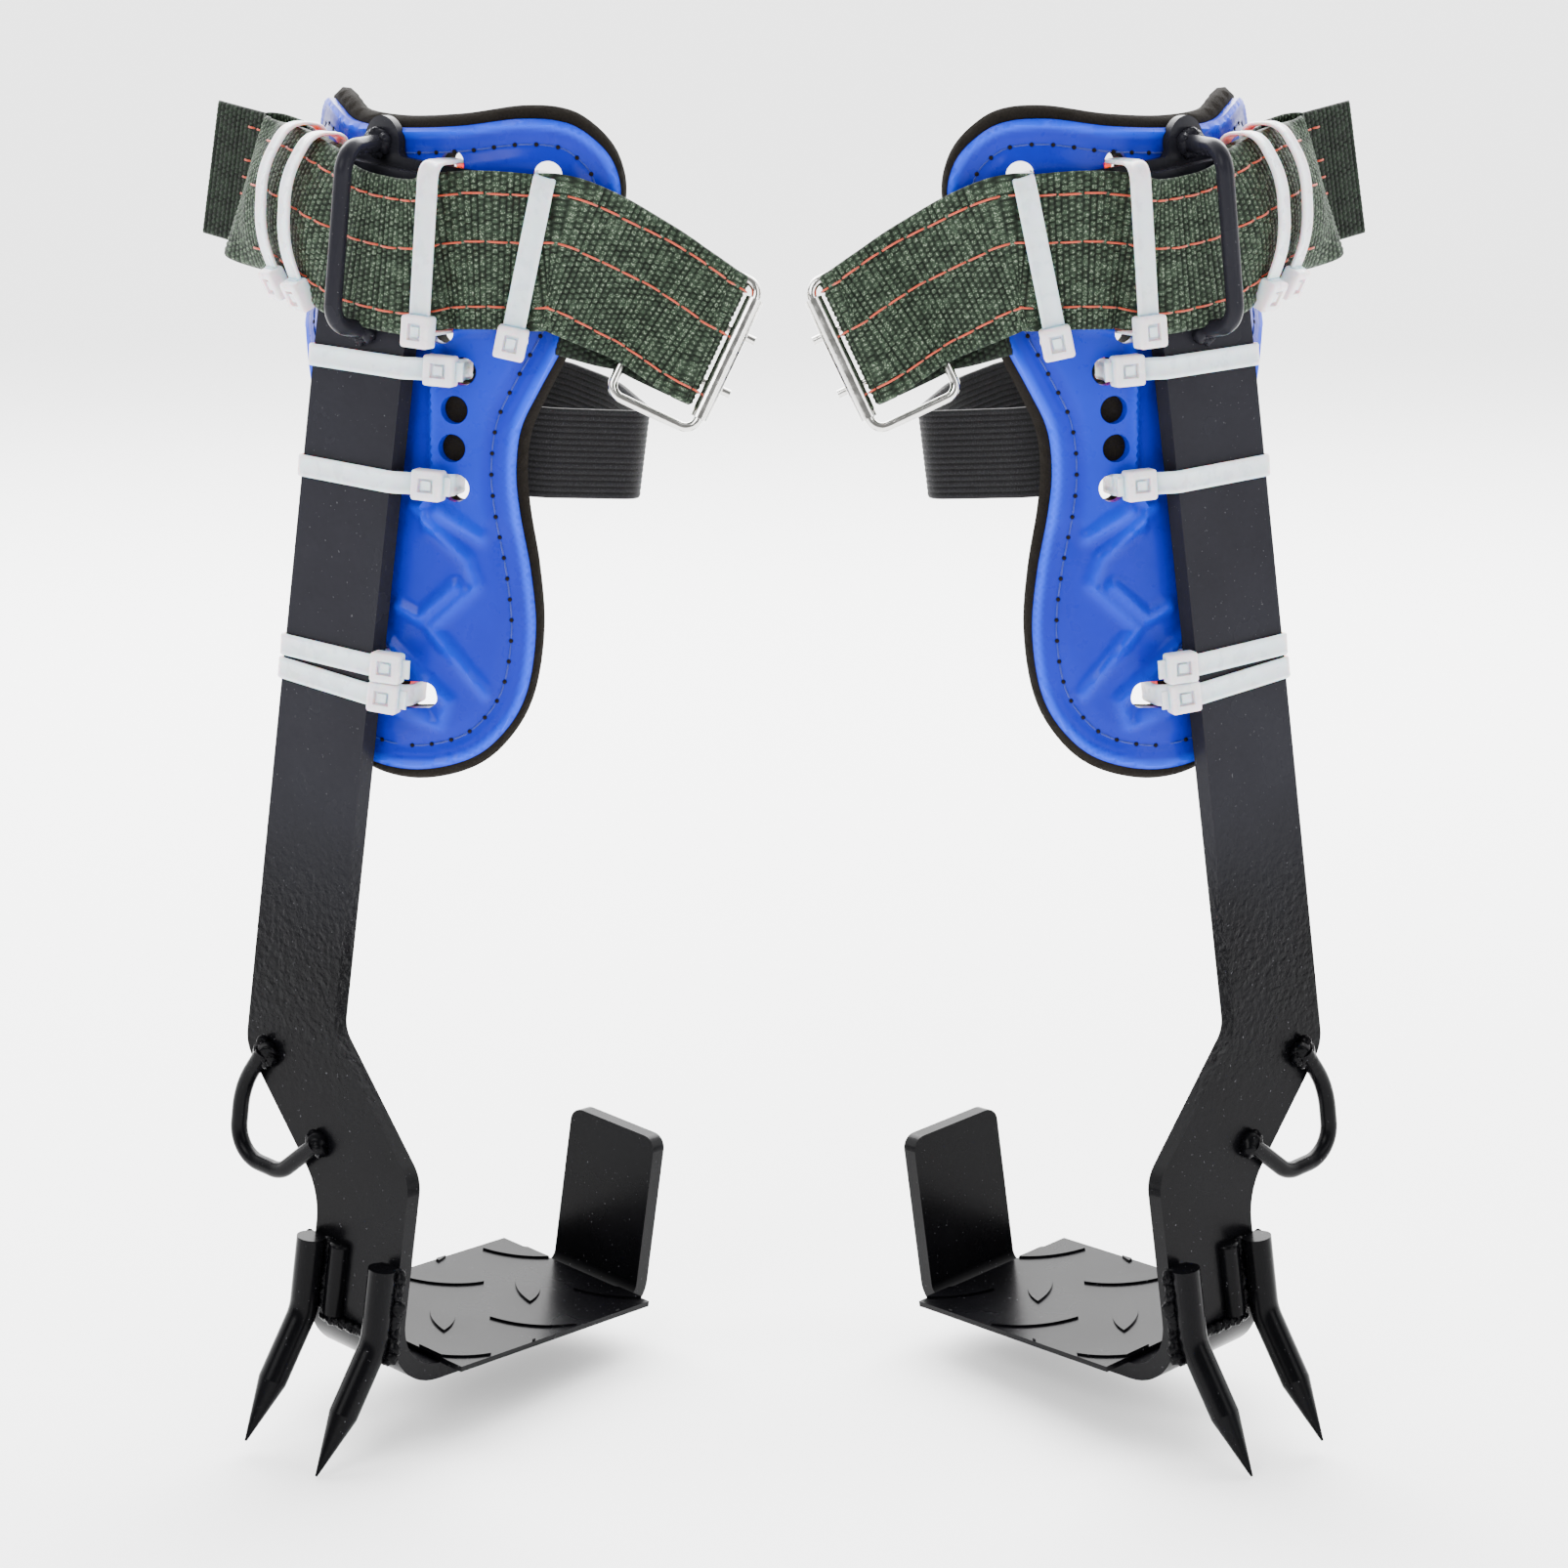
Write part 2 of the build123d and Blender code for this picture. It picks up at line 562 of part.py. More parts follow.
def shank_tie(height, rise, hole_angle, rear_angle, head_at):
    """A tie round the shank that passes the guard at two calf angles; it climbs forward by rise."""
    wrap = TIE_THICK + TIE_CLEAR
    passes = [
        calf_point(tie_outside, hole_angle),
        calf_point(tie_inside - TIE_THICK, hole_angle),
        calf_point(tie_inside - TIE_THICK, rear_angle),
        calf_point(tie_outside, rear_angle),
    ]
    corners = [(bar_rear - wrap, -wrap), (bar_front + wrap, -wrap)]
    if passes[0].X < bar_front:
        corners.append((bar_front + wrap, BAR_THICK + wrap))
    corners += [(p.X, p.Y) for p in passes]
    corners.append((bar_rear - wrap, BAR_THICK + wrap))
    level = Plane(origin=(bar_rear, 0, height), x_dir=(1, 0, rise), z_dir=(-rise, 0, 1))
    shifted = [(x - bar_rear, y) for x, y in corners]
    return tie_loop(level, shifted, 1.7, (head_at[0] - bar_rear, head_at[1]), 22)


def strap_tie(place, out, lean, bottom, top, outer, inner):
    """A tie round the strap in a plane through place that looks along out; its top leans to the toe."""
    out = Vector(*out).normalized()
    along = out.rotate(Axis.Z, -90)
    upright = Plane(origin=place, x_dir=out, z_dir=along + Vector(0, 0, tan(radians(lean))))
    corners = [(inner, bottom), (outer, bottom), (outer, top), (inner, top)]
    return tie_loop(upright, corners, 2.5, (outer - HEAD_DEPTH / 2 + 3, bottom + 1.5), 90)


def calf_tie(angle, lean, outer):
    """A strap tie that also passes the guard and liner, and so holds the guard to the calf plate."""
    out = calf_point(1, angle) - calf_point(0, angle)
    inner = tie_inside - TIE_THICK - PLATE_OUTER
    return strap_tie(calf_point(PLATE_OUTER, angle, 378), out, lean, -28.0, 27.8, outer, inner)


shank_ties = [
    shank_tie(334.6, 0.083, 23.1, -13.0, (-10, 6)),
    shank_tie(297.4, 0.073, 24.7, -6.8, (-10, 6)),
    shank_tie(236.2, 0.065, 9, -18.4, (-14.8, 0.7)),
    shank_tie(228.2, 0.02, 19, -18.4, (-14.8, 0.7)),
]
strap_ties = [
    strap_tie((-86, 4.2, 380), (-0.35, -0.94, 0), 0, -27.5, 27.5, 5.5, -14),
    strap_tie((-70.5, -0.6, 379), (-0.28, -0.96, 0), 0, -27.5, 27.5, 5.5, -14),
    calf_tie(14.6, -3, 13.5),
    calf_tie(37.7, 5, 6.5),
]

# ---------------------------------------------------------------- stand the pair and write it

pieces = {
    "shank_bar": shank_bar.part,
    "calf_plate": calf_plate.part,
    "foot_plate": foot_plate.part,
    "rear_gaff": rear_gaff,
    "front_gaff": front_gaff,
    "gaff_stub": gaff_stub.part,
    "strap_keeper": strap_keeper,
    "ankle_strap_ring": ankle_strap_ring,
    "weld_beads": weld_beads.part,
    "guard_shell": guard_shell,
    "foam_liner": foam_liner,
    "elastic_band": elastic_band.part,
    "calf_strap": calf_strap,
    "buckle_loop": buckle_loop.part,
    "strap_bundle": strap_bundle,
    "strap_tail": strap_tail,
    "buckle_frame": buckle_frame.part,
    "buckle_roller": buckle_roller.part,
    "upper_prong": upper_prong,
    "lower_prong": lower_prong,
}
for number, tie in enumerate(shank_ties, 1):
    pieces[f"shank_tie_{number}"] = tie
for number, tie in enumerate(strap_ties, 1):
    pieces[f"strap_tie_{number}"] = tie

toe = Vector(cos(YAW) * cos(LEAN), -sin(YAW), -cos(YAW) * sin(LEAN))
rise = Vector(sin(LEAN), 0, cos(LEAN))
stance = Plane(origin=STAND_AT, x_dir=toe, z_dir=rise).location

os.makedirs("parts", exist_ok=True)
for name, piece in pieces.items():
    left = piece.moved(stance)
    left.label = f"left_{name}"
    export_step(left, f"parts/left_{name}.step")
    right = mirror(left, about=Plane.YZ)
    right.label = f"right_{name}"
    export_step(right, f"parts/right_{name}.step")
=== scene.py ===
"""The looks of a pair of tree climbing spurs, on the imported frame.

Both spurs share one set of shapes, in the spur's own millimetre frame: X to the toe, Y from the shank to
the stirrup's outer flange, Z up from the foot plate. The right spur is the mirror image of the left one.
"""
import json
import math

import bpy
import numpy as np
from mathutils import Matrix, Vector
from mathutils.geometry import delaunay_2d_cdt


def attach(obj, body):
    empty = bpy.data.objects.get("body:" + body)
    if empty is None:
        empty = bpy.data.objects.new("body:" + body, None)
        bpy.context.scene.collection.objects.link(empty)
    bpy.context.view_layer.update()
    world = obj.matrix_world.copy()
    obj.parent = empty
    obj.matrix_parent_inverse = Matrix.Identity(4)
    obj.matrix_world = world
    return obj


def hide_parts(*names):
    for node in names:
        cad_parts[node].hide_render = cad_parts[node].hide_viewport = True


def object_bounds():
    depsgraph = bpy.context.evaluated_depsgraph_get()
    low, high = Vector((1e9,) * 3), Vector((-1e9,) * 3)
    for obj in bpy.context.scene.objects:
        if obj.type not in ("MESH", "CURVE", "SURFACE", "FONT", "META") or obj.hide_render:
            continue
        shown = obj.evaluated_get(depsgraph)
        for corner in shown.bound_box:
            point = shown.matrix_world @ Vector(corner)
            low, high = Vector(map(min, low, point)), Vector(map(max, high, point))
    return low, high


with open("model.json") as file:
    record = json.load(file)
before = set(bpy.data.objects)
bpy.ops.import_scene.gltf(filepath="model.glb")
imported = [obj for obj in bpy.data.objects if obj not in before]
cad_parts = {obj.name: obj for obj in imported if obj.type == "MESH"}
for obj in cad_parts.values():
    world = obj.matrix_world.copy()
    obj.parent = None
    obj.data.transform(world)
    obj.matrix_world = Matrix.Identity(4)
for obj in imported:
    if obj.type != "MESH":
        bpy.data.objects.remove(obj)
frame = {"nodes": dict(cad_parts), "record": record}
cad_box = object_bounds()
rng = np.random.default_rng(7)

SIDES = ("left", "right")
MM = 0.001

# ------------------------------------------------------------ the spur's own frame, from its mounts

mounts = {mount["name"]: mount for mount in frame["record"]["mounts"]}
rise = np.array(mounts["left_foot_plate_top"]["axis"])
across = -np.array(mounts["left_ankle_ring"]["axis"])
toe = np.cross(across, rise)
PLATE_MOUNT = np.array([-5.0, 76.0, 0.0])  # where the foot plate's mount lies in the spur's frame
turn_to_row = np.array([toe, across, rise])
spur_origin = np.array(mounts["left_foot_plate_top"]["pos_m"]) - PLATE_MOUNT @ turn_to_row * MM


def to_row(points, side):
    """Points in the spur's frame, in millimetres, as row frame metres for one side."""
    placed = spur_origin + points @ turn_to_row * MM
    if side == "right":
        placed[:, 0] *= -1
    return placed


# ------------------------------------------------------------ sizes shared with the CAD, in millimetres

CALF_X, CALF_Y, REAR_FLAT = -35.0, 78.0, 30.0
PLATE_OUTER = 72.0
GUARD_OUTER, GUARD_THICK = 68.7, 2.2
LINER_OUTER, LINER_THICK, LINER_REACH = 66.3, 7.0, 4.0
GUARD_MIDDLE_ARC, GUARD_MIDDLE_Z, GUARD_TILT = 7.2, 310.0, math.radians(9.5)
GUARD_HALF_OUTLINE = [
    (0, -107.5), (19.5, -104), (32, -95), (40, -82), (44, -62), (43.5, -42), (41, -22), (40.5, -8),
    (43, 6), (50, 19), (58.5, 33), (73, 59), (79, 77), (78, 88), (72.5, 96.5), (63, 103), (48, 105),
    (26, 103.2), (0, 103.2),
]
REAR_LOBE = [(-26, 106), (-42, 111.5), (-56, 114.5), (-68, 110), (-76, 99), (-80, 82)]
LOBE_ROWS = 6
TIE_HOLES = [(25, 25), (21.5, 12.5), (20, 0), (20.5, -13), (18.5, 38.5), (24, 91), (56, 87), (42.3, 35)]
REAR_TIE_HOLES = [(-25, 30), (-21.5, 17.5), (-20, 5), (-20.5, -8.5), (-8.5, -71)]
BLIND_HOLES = [(21.5, 12.5), (20, 0), (-21.5, 17.5), (-20, 5)]
LOW_SLOT = (2.5, -82)
HOLE_RADIUS = 4.6
WEB_WIDTH, WEB_THICK, FOLDED_THICK = 50.0, 2.2, 5.4
BAR_FRONT, BAR_REAR, BAR_THICK = -21.4, -61.4, 6.0
TIE_WIDTH, TIE_THICK, TIE_CLEAR = 7.2, 1.3, 0.4
ROLLER_MIDDLE = np.array([59.5, 64.8, 353.9])
LOOP_TURN, LAYER_GAP = 10.5, 4.9


def unit(v):
    return np.array(v, float) / np.linalg.norm(v)


buckle_up = unit([0.1, 0.375, 0.9225])
buckle_face = np.array([0.577, -0.776, 0.252])
buckle_face = unit(buckle_face - buckle_up * buckle_face.dot(buckle_up))
to_heel = -np.cross(buckle_up, buckle_face)


def at_buckle(reach, up, out):
    """A point by its distance from the roller towards the heel bar, along the roller and out of the face."""
    return ROLLER_MIDDLE + to_heel * reach + buckle_up * up + buckle_face * out


def calf_point(radius, angle, height=0.0):
    """A point on the calf curve, which is flatter behind; the angle in degrees opens towards the toe."""
    turn = np.radians(angle)
    flatter = np.where(turn < 0, REAR_FLAT, 0.0)
    x = CALF_X + (radius + flatter) * np.sin(turn)
    y = CALF_Y + flatter - (radius + flatter) * np.cos(turn)
    return np.stack(np.broadcast_arrays(x, y, height), -1)


def guard_point(places, radius):
    """Points on the guard for rows of (across, along), at a radius each."""
    arc = GUARD_MIDDLE_ARC + places[:, 0] * math.cos(GUARD_TILT) - places[:, 1] * math.sin(GUARD_TILT)
    height = GUARD_MIDDLE_Z + places[:, 0] * math.sin(GUARD_TILT) + places[:, 1] * math.cos(GUARD_TILT)
    return calf_point(radius, np.degrees(arc / (GUARD_OUTER + np.where(arc < 0, REAR_FLAT, 0.0))), height)


# ------------------------------------------------------------ meshes


def join(shapes):
    """Several (points, face groups, shade) as one."""
    points, groups, shades, base = [], [], [], 0
    for more, faces, shade in shapes:
        points.append(more)
        groups += [g + base for g in faces]
        shades.append(np.broadcast_to(shade, len(more)))
        base += len(more)
    return np.vstack(points), groups, np.concatenate(shades)


def mesh_of(name, points, groups, shade):
    """A smooth mesh from arrays, with the shade of each point from 0 to 1 in an attribute."""
    mesh = bpy.data.meshes.new(name)
    sizes = np.concatenate([np.full(len(g), g.shape[1]) for g in groups])
    corners = np.concatenate([g.ravel() for g in groups])
    mesh.vertices.add(len(points))
    mesh.vertices.foreach_set("co", points.ravel())
    mesh.loops.add(len(corners))
    mesh.loops.foreach_set("vertex_index", corners)
    mesh.polygons.add(len(sizes))
    mesh.polygons.foreach_set("loop_start", np.concatenate([[0], np.cumsum(sizes)[:-1]]))
    mesh.update(calc_edges=True)
    mesh.validate()
    mesh.shade_smooth()
    shades = mesh.attributes.new("shade", "FLOAT", "POINT")
    shades.data.foreach_set("value", np.ascontiguousarray(shade, float))
    return mesh


def add_pair(name, shape, material, replaced=(), sharp=None):
    """The shape as a left and a right piece that ride with the spurs and stand for the CAD nodes named."""
    points, groups, shade = shape
    made = []
    for side in SIDES:
        wound = groups if side == "left" else [g[:, ::-1] for g in groups]
        mesh = mesh_of(f"{side}_{name}", to_row(points, side), wound, shade)
        mesh.materials.append(material)
        if sharp:
            mesh.set_sharp_from_angle(angle=math.radians(sharp))
        piece = bpy.data.objects.new(f"{side}_{name}", mesh)
        bpy.context.scene.collection.objects.link(piece)
        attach(piece, "spurs")
        if replaced:
            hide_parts(*[f"{side}_{node}" for node in replaced])
        made.append(piece)
    return made


def skin(rings, closed=False, shade=0.0):
    """Quads between rings of points (rings, around, 3), with end caps unless the rings close up."""
    count, around = rings.shape[:2]
    index = np.arange(count * around).reshape(count, around)
    ahead = np.roll(index, -1, 0) if closed else index[1:]
    here = index if closed else index[:-1]
    quads = np.stack([here, np.roll(here, -1, 1), np.roll(ahead, -1, 1), ahead], -1).reshape(-1, 4)
    groups = [quads] if closed else [quads, index[:1, ::-1], index[-1:]]
    return rings.reshape(-1, 3), groups, np.broadcast_to(shade, rings.shape[:2]).reshape(-1)


def spline_step(a, b, c, d, count):
    """Points from b towards c on the smooth curve that passes through four knots in a row."""
    t = np.linspace(0, 1, count, endpoint=False)[:, None]
    line = 2 * b + (c - a) * t
    return 0.5 * (line + (2 * a - 5 * b + 4 * c - d) * t**2 + (3 * b - a - 3 * c + d) * t**3)


def run_along(path):
    """The distance from the first point of a path to each of its points."""
    return np.concatenate([[0], np.cumsum(np.linalg.norm(np.diff(path, axis=0), axis=1))])


def points_at(at, run, path):
    """Points at given distances along a path whose own points lie at the distances in run."""
    return np.stack([np.interp(at, run, path[:, k]) for k in range(path.shape[1])], 1)


def curve_through(knots, step):
    """Points about a step apart on a smooth curve through the knots, for knots of any width."""
    knots = np.array(knots, float)
    padded = np.vstack([2 * knots[0] - knots[1], knots, 2 * knots[-1] - knots[-2]])
    dense = []
    for a, b, c, d in zip(padded, padded[1:], padded[2:], padded[3:]):
        dense.append(spline_step(a, b, c, d, 24))
    dense = np.vstack([*dense, knots[-1:]])
    run = run_along(dense[:, :3])
    at = np.linspace(0, run[-1], max(int(run[-1] / step), 2) + 1)
    return points_at(at, run, dense), at


def rounded(corners, radius, closed=True, step=1.0):
    """A polyline with its corners rounded, as points about a step apart."""
    corners = [np.array(c, float) for c in corners]
    path = []
    count = len(corners)
    for i, corner in enumerate(corners):
        if not closed and i in (0, count - 1):
            path.append(corner)
            continue
        back = corners[i - 1] - corner
        on = corners[(i + 1) % count] - corner
        reach = min(radius, 0.45 * np.linalg.norm(back), 0.45 * np.linalg.norm(on))
        start, end = corner + unit(back) * reach, corner + unit(on) * reach
        for t in np.linspace(0, 1, 7):
            path.append((1 - t) ** 2 * start + 2 * t * (1 - t) * corner + t**2 * end)
    if closed:
        path.append(path[0])
    path = np.array(path)
    run = run_along(path)
    at = np.linspace(0, run[-1], int(run[-1] / step) + 1)
    points = points_at(at, run, path)
    return (points[:-1], at[:-1]) if closed else (points, at)


def ribbon_frames(stations, step):
    """Middles, across and outward directions and run length of a strap through (middle, across) stations."""
    knots = [[*middle, *side] for middle, side in stations]
    line, at = curve_through(knots, step)
    middles = line[:, :3]
    ahead = np.gradient(middles, axis=0)
    ahead /= np.linalg.norm(ahead, axis=1, keepdims=True)
    side = line[:, 3:] - ahead * np.sum(line[:, 3:] * ahead, 1, keepdims=True)
    side /= np.linalg.norm(side, axis=1, keepdims=True)
    return middles, side, np.cross(ahead, side), at


WEAVE_ALONG, WEAVE_ACROSS = 2.1, 1.9  # one yarn's length along the strap and width across it
SCATTER = (12.9898, 78.233, 43758.5453)  # unrelated numbers, so that neighbouring yarns differ


def weave(run, height):
    """The relief of one face of the webbing, 0 in the gaps to 1 on the yarns, and a shade for each yarn."""
    column = np.floor(run / WEAVE_ALONG)
    u = run / WEAVE_ALONG - column
    v = height / WEAVE_ACROSS + 0.5 * (column % 2)
    along = 1 - (2 * u - 1) ** 2
    over = 1 - (2 * (v - np.floor(v)) - 1) ** 2
    bump = np.sqrt(np.clip(along * over, 0, 1))
    yarn = np.sin(column * SCATTER[0] + np.floor(v) * SCATTER[1]) * SCATTER[2]
    return bump, yarn - np.floor(yarn)


BULGE, BULGE_FRONT, BULGE_REAR = 7.5, -52.0, -118.0  # how far out, and where along X it starts and ends


def bulge(middles, across_share):
    """How far a strap stands out behind the shank: its middle outward, its edges pulled back by the ties."""
    x = middles[:, 0]
    behind = np.clip((BULGE_FRONT - x) / 12, 0, 1) * np.clip((x - BULGE_REAR) / 14, 0, 1)
    behind = behind * behind * (3 - 2 * behind)
    return behind[:, None] * BULGE * (0.45 - (2 * across_share) ** 2)


def webbing(stations, width, thickness, step=0.5, relief=0.7, gather=None, bulging=1.0):
    """A closed woven strap and its frames; it may bulge behind the shank, and gather scales its width."""
    middles, side, out, at = ribbon_frames(stations, step)
    heights = np.linspace(-0.5, 0.5, int(width / step) + 1) * width
    run, height = np.meshgrid(at, heights, indexing="ij")
    bump, yarn = weave(run, height)
    rim = np.clip((width / 2 - np.abs(height)) / 1.2, 0, 1) ** 0.5
    lift = (thickness / 2 - relief) * (0.35 + 0.65 * rim) + relief * bump * rim
    spread = np.ones(len(at)) if gather is None else gather(at, at[-1])
    flat = middles[:, None] + side[:, None] * (height * spread[:, None])[..., None]
    flat += out[:, None] * bulging * bulge(middles, height / width)[..., None]
    front = flat + out[:, None] * lift[..., None]
    back = flat - out[:, None] * lift[..., None]
    rings = np.concatenate([front, back[:, ::-1]], 1)
    # Painted shade and tone: darker in the gaps between yarns, lighter on the yarn tops, with a random tone
    # for each yarn.
    shade = np.clip(1.15 * bump**1.5 - 0.1 + 0.5 * (yarn - 0.5), 0, 1)
    shade = np.concatenate([shade, shade[:, ::-1]], 1)
    return skin(rings, shade=shade), (middles, side, out, at)


def stitches(frames, offset, lift, first=0.0, last=None, length=6.4, radius=0.32, bulging=1.0):
    """A row of thread stitches on a strap at an offset from its middle."""
    middles, side, out, at = frames
    last = at[-1] if last is None else last
    made = []
    start = first + 1
    wander = 0.0
    while start + length < last:
        wander = 0.5 * wander + rng.uniform(-0.25, 0.25)
        runs = np.linspace(start, start + length, 5)
        centre, sideways, outward = (
            points_at(runs, at, rows) for rows in (middles, side, out)
        )
        arch = np.array([-0.5, 0.25, 0.4, 0.25, -0.5])[:, None]
        crown = bulging * bulge(centre, np.array([offset / WEB_WIDTH]))
        made.append(rod(centre + sideways * (offset + wander) + outward * (lift + arch + crown), radius, 6))
        start += length + 1.0
    return join(made)


def rod(line, radius, around=10):
    """A round rod along points, with a radius that may change along it."""
    line = np.array(line, float)
    ahead = np.gradient(line, axis=0)
    ahead /= np.linalg.norm(ahead, axis=1, keepdims=True)
    guide = np.array([0.0, 0.0, 1.0]) if abs(ahead[0][2]) < 0.9 else np.array([1.0, 0.0, 0.0])
    sides = []
    for heading in ahead:
        guide = unit(guide - heading * guide.dot(heading))
        sides.append(guide)
    sides = np.array(sides)
    third = np.cross(ahead, sides)
    turn = np.linspace(0, 2 * math.pi, around, endpoint=False)
    size = np.broadcast_to(radius, len(line))[:, None, None]
    spokes = sides[:, None] * np.cos(turn)[:, None] + third[:, None] * np.sin(turn)[:, None]
    return skin(line[:, None] + size * spokes)


# ------------------------------------------------------------ materials


class Paint:
    """A node material built up step by step round one Principled shader."""

    def __init__(self, name, **values):
        self.material = bpy.data.materials.new(name)
        self.material.use_nodes = True
        self.nodes = self.material.node_tree.nodes
        self.links = self.material.node_tree.links
        self.shader = self.nodes["Principled BSDF"]
        self.place = self.nodes.new("ShaderNodeTexCoord").outputs["Object"]
        for key, value in values.items():
            self.shader.inputs[key.replace("_", " ")].default_value = value

    def noise(self, scale, detail=2.0, stretch=None):
        node = self.nodes.new("ShaderNodeTexNoise")
        node.inputs["Scale"].default_value = scale
        node.inputs["Detail"].default_value = detail
        source = self.place
        if stretch:
            mapping = self.nodes.new("ShaderNodeMapping")
            mapping.inputs["Scale"].default_value = stretch
            self.links.new(self.place, mapping.inputs["Vector"])
            source = mapping.outputs["Vector"]
        self.links.new(source, node.inputs["Vector"])
        return node.outputs["Fac"]

    def shade(self):
        node = self.nodes.new("ShaderNodeAttribute")
        node.attribute_name = "shade"
        return node.outputs["Fac"]

    def height(self):
        node = self.nodes.new("ShaderNodeSeparateXYZ")
        self.links.new(self.place, node.inputs["Vector"])
        return node.outputs["Z"]

    def ramp(self, source, low, high, first, second):
        node = self.nodes.new("ShaderNodeMapRange")
        node.interpolation_type = "SMOOTHSTEP"
        for key, value in zip(("From Min", "From Max", "To Min", "To Max"), (low, high, first, second)):
            node.inputs[key].default_value = value
        self.links.new(source, node.inputs["Value"])
        return node.outputs["Result"]

    def times(self, a, b, operation="MULTIPLY"):
        node = self.nodes.new("ShaderNodeMath")
        node.operation = operation
        for socket, value in zip(node.inputs, (a, b)):
            if isinstance(value, (int, float)):
                socket.default_value = value
            else:
                self.links.new(value, socket)
        return node.outputs["Value"]

    def mix(self, factor, first, second):
        node = self.nodes.new("ShaderNodeMix")
        node.data_type = "RGBA"
        self.links.new(factor, node.inputs["Factor"])
        for socket, value in ((node.inputs["A"], first), (node.inputs["B"], second)):
            if isinstance(value, tuple):
                socket.default_value = (*value, 1)
            else:
                self.links.new(value, socket)
        return node.outputs["Result"]

    def colour(self, source):
        self.links.new(source, self.shader.inputs["Base Color"])
        return self

    def rough(self, source):
        self.links.new(source, self.shader.inputs["Roughness"])
        return self

    def bump(self, source, distance, strength=1.0):
        node = self.nodes.new("ShaderNodeBump")
        node.inputs["Distance"].default_value = distance
        node.inputs["Strength"].default_value = strength
        self.links.new(source, node.inputs["Height"])
        previous = self.shader.inputs["Normal"]
        if previous.is_linked:
            self.links.new(previous.links[0].from_socket, node.inputs["Normal"])
        self.links.new(node.outputs["Normal"], previous)
        return self


def enamel():
    paint = Paint("black_enamel", Specular_IOR_Level=0.05)
    specks = paint.ramp(paint.noise(900, 3), 0.70, 0.74, 0.0, 1.0)
    clouds = paint.noise(35, 4)
    base = paint.mix(clouds, (0.001, 0.001, 0.001), (0.003, 0.003, 0.004))
    # Painted light: above this height the enamel is painted lighter, standing in for the light the upper
    # shank catches.
    lit_upper = paint.ramp(paint.height(), 0.16, 0.24, 0.0, 1.0)
    base = paint.mix(lit_upper, base, paint.mix(clouds, (0.008, 0.008, 0.011), (0.013, 0.013, 0.017)))
    paint.colour(paint.mix(specks, base, (0.05, 0.05, 0.055)))
    paint.rough(paint.ramp(clouds, 0.3, 0.7, 0.22, 0.28))
    ankle = paint.ramp(paint.height(), 0.10, 0.16, 0.0, 1.0)
    calm = paint.ramp(paint.height(), 0.17, 0.22, 1.0, 0.12)
    paint.bump(paint.times(paint.noise(420, 2), paint.times(ankle, calm)), 0.0009, 0.5)
    paint.bump(paint.noise(160, 2), 0.0003, 0.1)
    return paint.material


def guard_plastic():
    paint = Paint("blue_guard", Specular_IOR_Level=0.10, Coat_Weight=0.04, Coat_Roughness=0.05)
    clouds = paint.noise(60, 3)
    field = paint.mix(clouds, (0.0003, 0.006, 0.24), (0.0006, 0.010, 0.33))
    # Painted highlight: where the shade attribute is high, the blue turns lighter along the rim and on the
    # raised relief.
    paint.colour(paint.mix(paint.shade(), field, (0.004, 0.060, 0.80)))
    paint.rough(paint.ramp(paint.noise(240, 3), 0.3, 0.7, 0.26, 0.36))
    paint.bump(paint.noise(300, 2), 0.0002, 0.3)
    return paint.material


def foam():
    paint = Paint("liner_foam", Specular_IOR_Level=0.05)
    grain = paint.noise(1500, 3)
    paint.colour(paint.mix(grain, (0.003, 0.003, 0.002), (0.016, 0.013, 0.011)))
    paint.rough(paint.ramp(grain, 0.2, 0.8, 0.8, 0.98))
    paint.bump(grain, 0.0005, 0.6)
    return paint.material


def web_fabric(name, low, high, glint):
    paint = Paint(name, Specular_IOR_Level=0.12, Sheen_Weight=0.02, Sheen_Roughness=0.4)
    fibre = paint.noise(2200, 2)
    # Painted shade and highlight: the low colour darkens the gaps and grooves, the high colour lights the
    # yarn and rib tops, and the glints are painted highlights on them.
    yarn = paint.mix(paint.shade(), low, high)
    on_yarn = paint.ramp(paint.shade(), 0.35, 0.9, 0.0, 1.0)
    glints = paint.times(paint.ramp(fibre, 0.52, 0.66, 0.0, 0.9), on_yarn)
    paint.colour(paint.mix(glints, yarn, glint))
    paint.rough(paint.ramp(fibre, 0.3, 0.7, 0.5, 0.8))
    paint.bump(fibre, 0.0003, 0.7)
    return paint.material


def thread(name, low, high):
    paint = Paint(name, Specular_IOR_Level=0.4, Sheen_Weight=0.2)
    twist = paint.noise(2400, 2)
    paint.colour(paint.mix(twist, low, high))
    paint.rough(paint.ramp(twist, 0.3, 0.7, 0.5, 0.75))
    paint.bump(twist, 0.0003, 0.6)
    return paint.material


def nylon():
    paint = Paint(
        "clear_nylon", Specular_IOR_Level=0.5, Subsurface_Weight=0.8, Subsurface_Scale=0.006, IOR=1.5
    )
    clouds = paint.noise(220, 3)
    paint.colour(paint.mix(clouds, (0.55, 0.56, 0.61), (0.70, 0.71, 0.75)))
    paint.rough(paint.ramp(clouds, 0.3, 0.7, 0.24, 0.38))
    paint.bump(paint.noise(700, 2), 0.0002, 0.3)
    return paint.material


def nickel():
    paint = Paint("nickel_plate", Metallic=1.0)
    clouds = paint.noise(320, 4)
    paint.colour(paint.mix(clouds, (0.55, 0.54, 0.51), (0.82, 0.81, 0.78)))
    paint.rough(paint.ramp(clouds, 0.3, 0.7, 0.10, 0.22))
    paint.bump(paint.noise(900, 2), 0.0002, 0.2)
    return paint.material


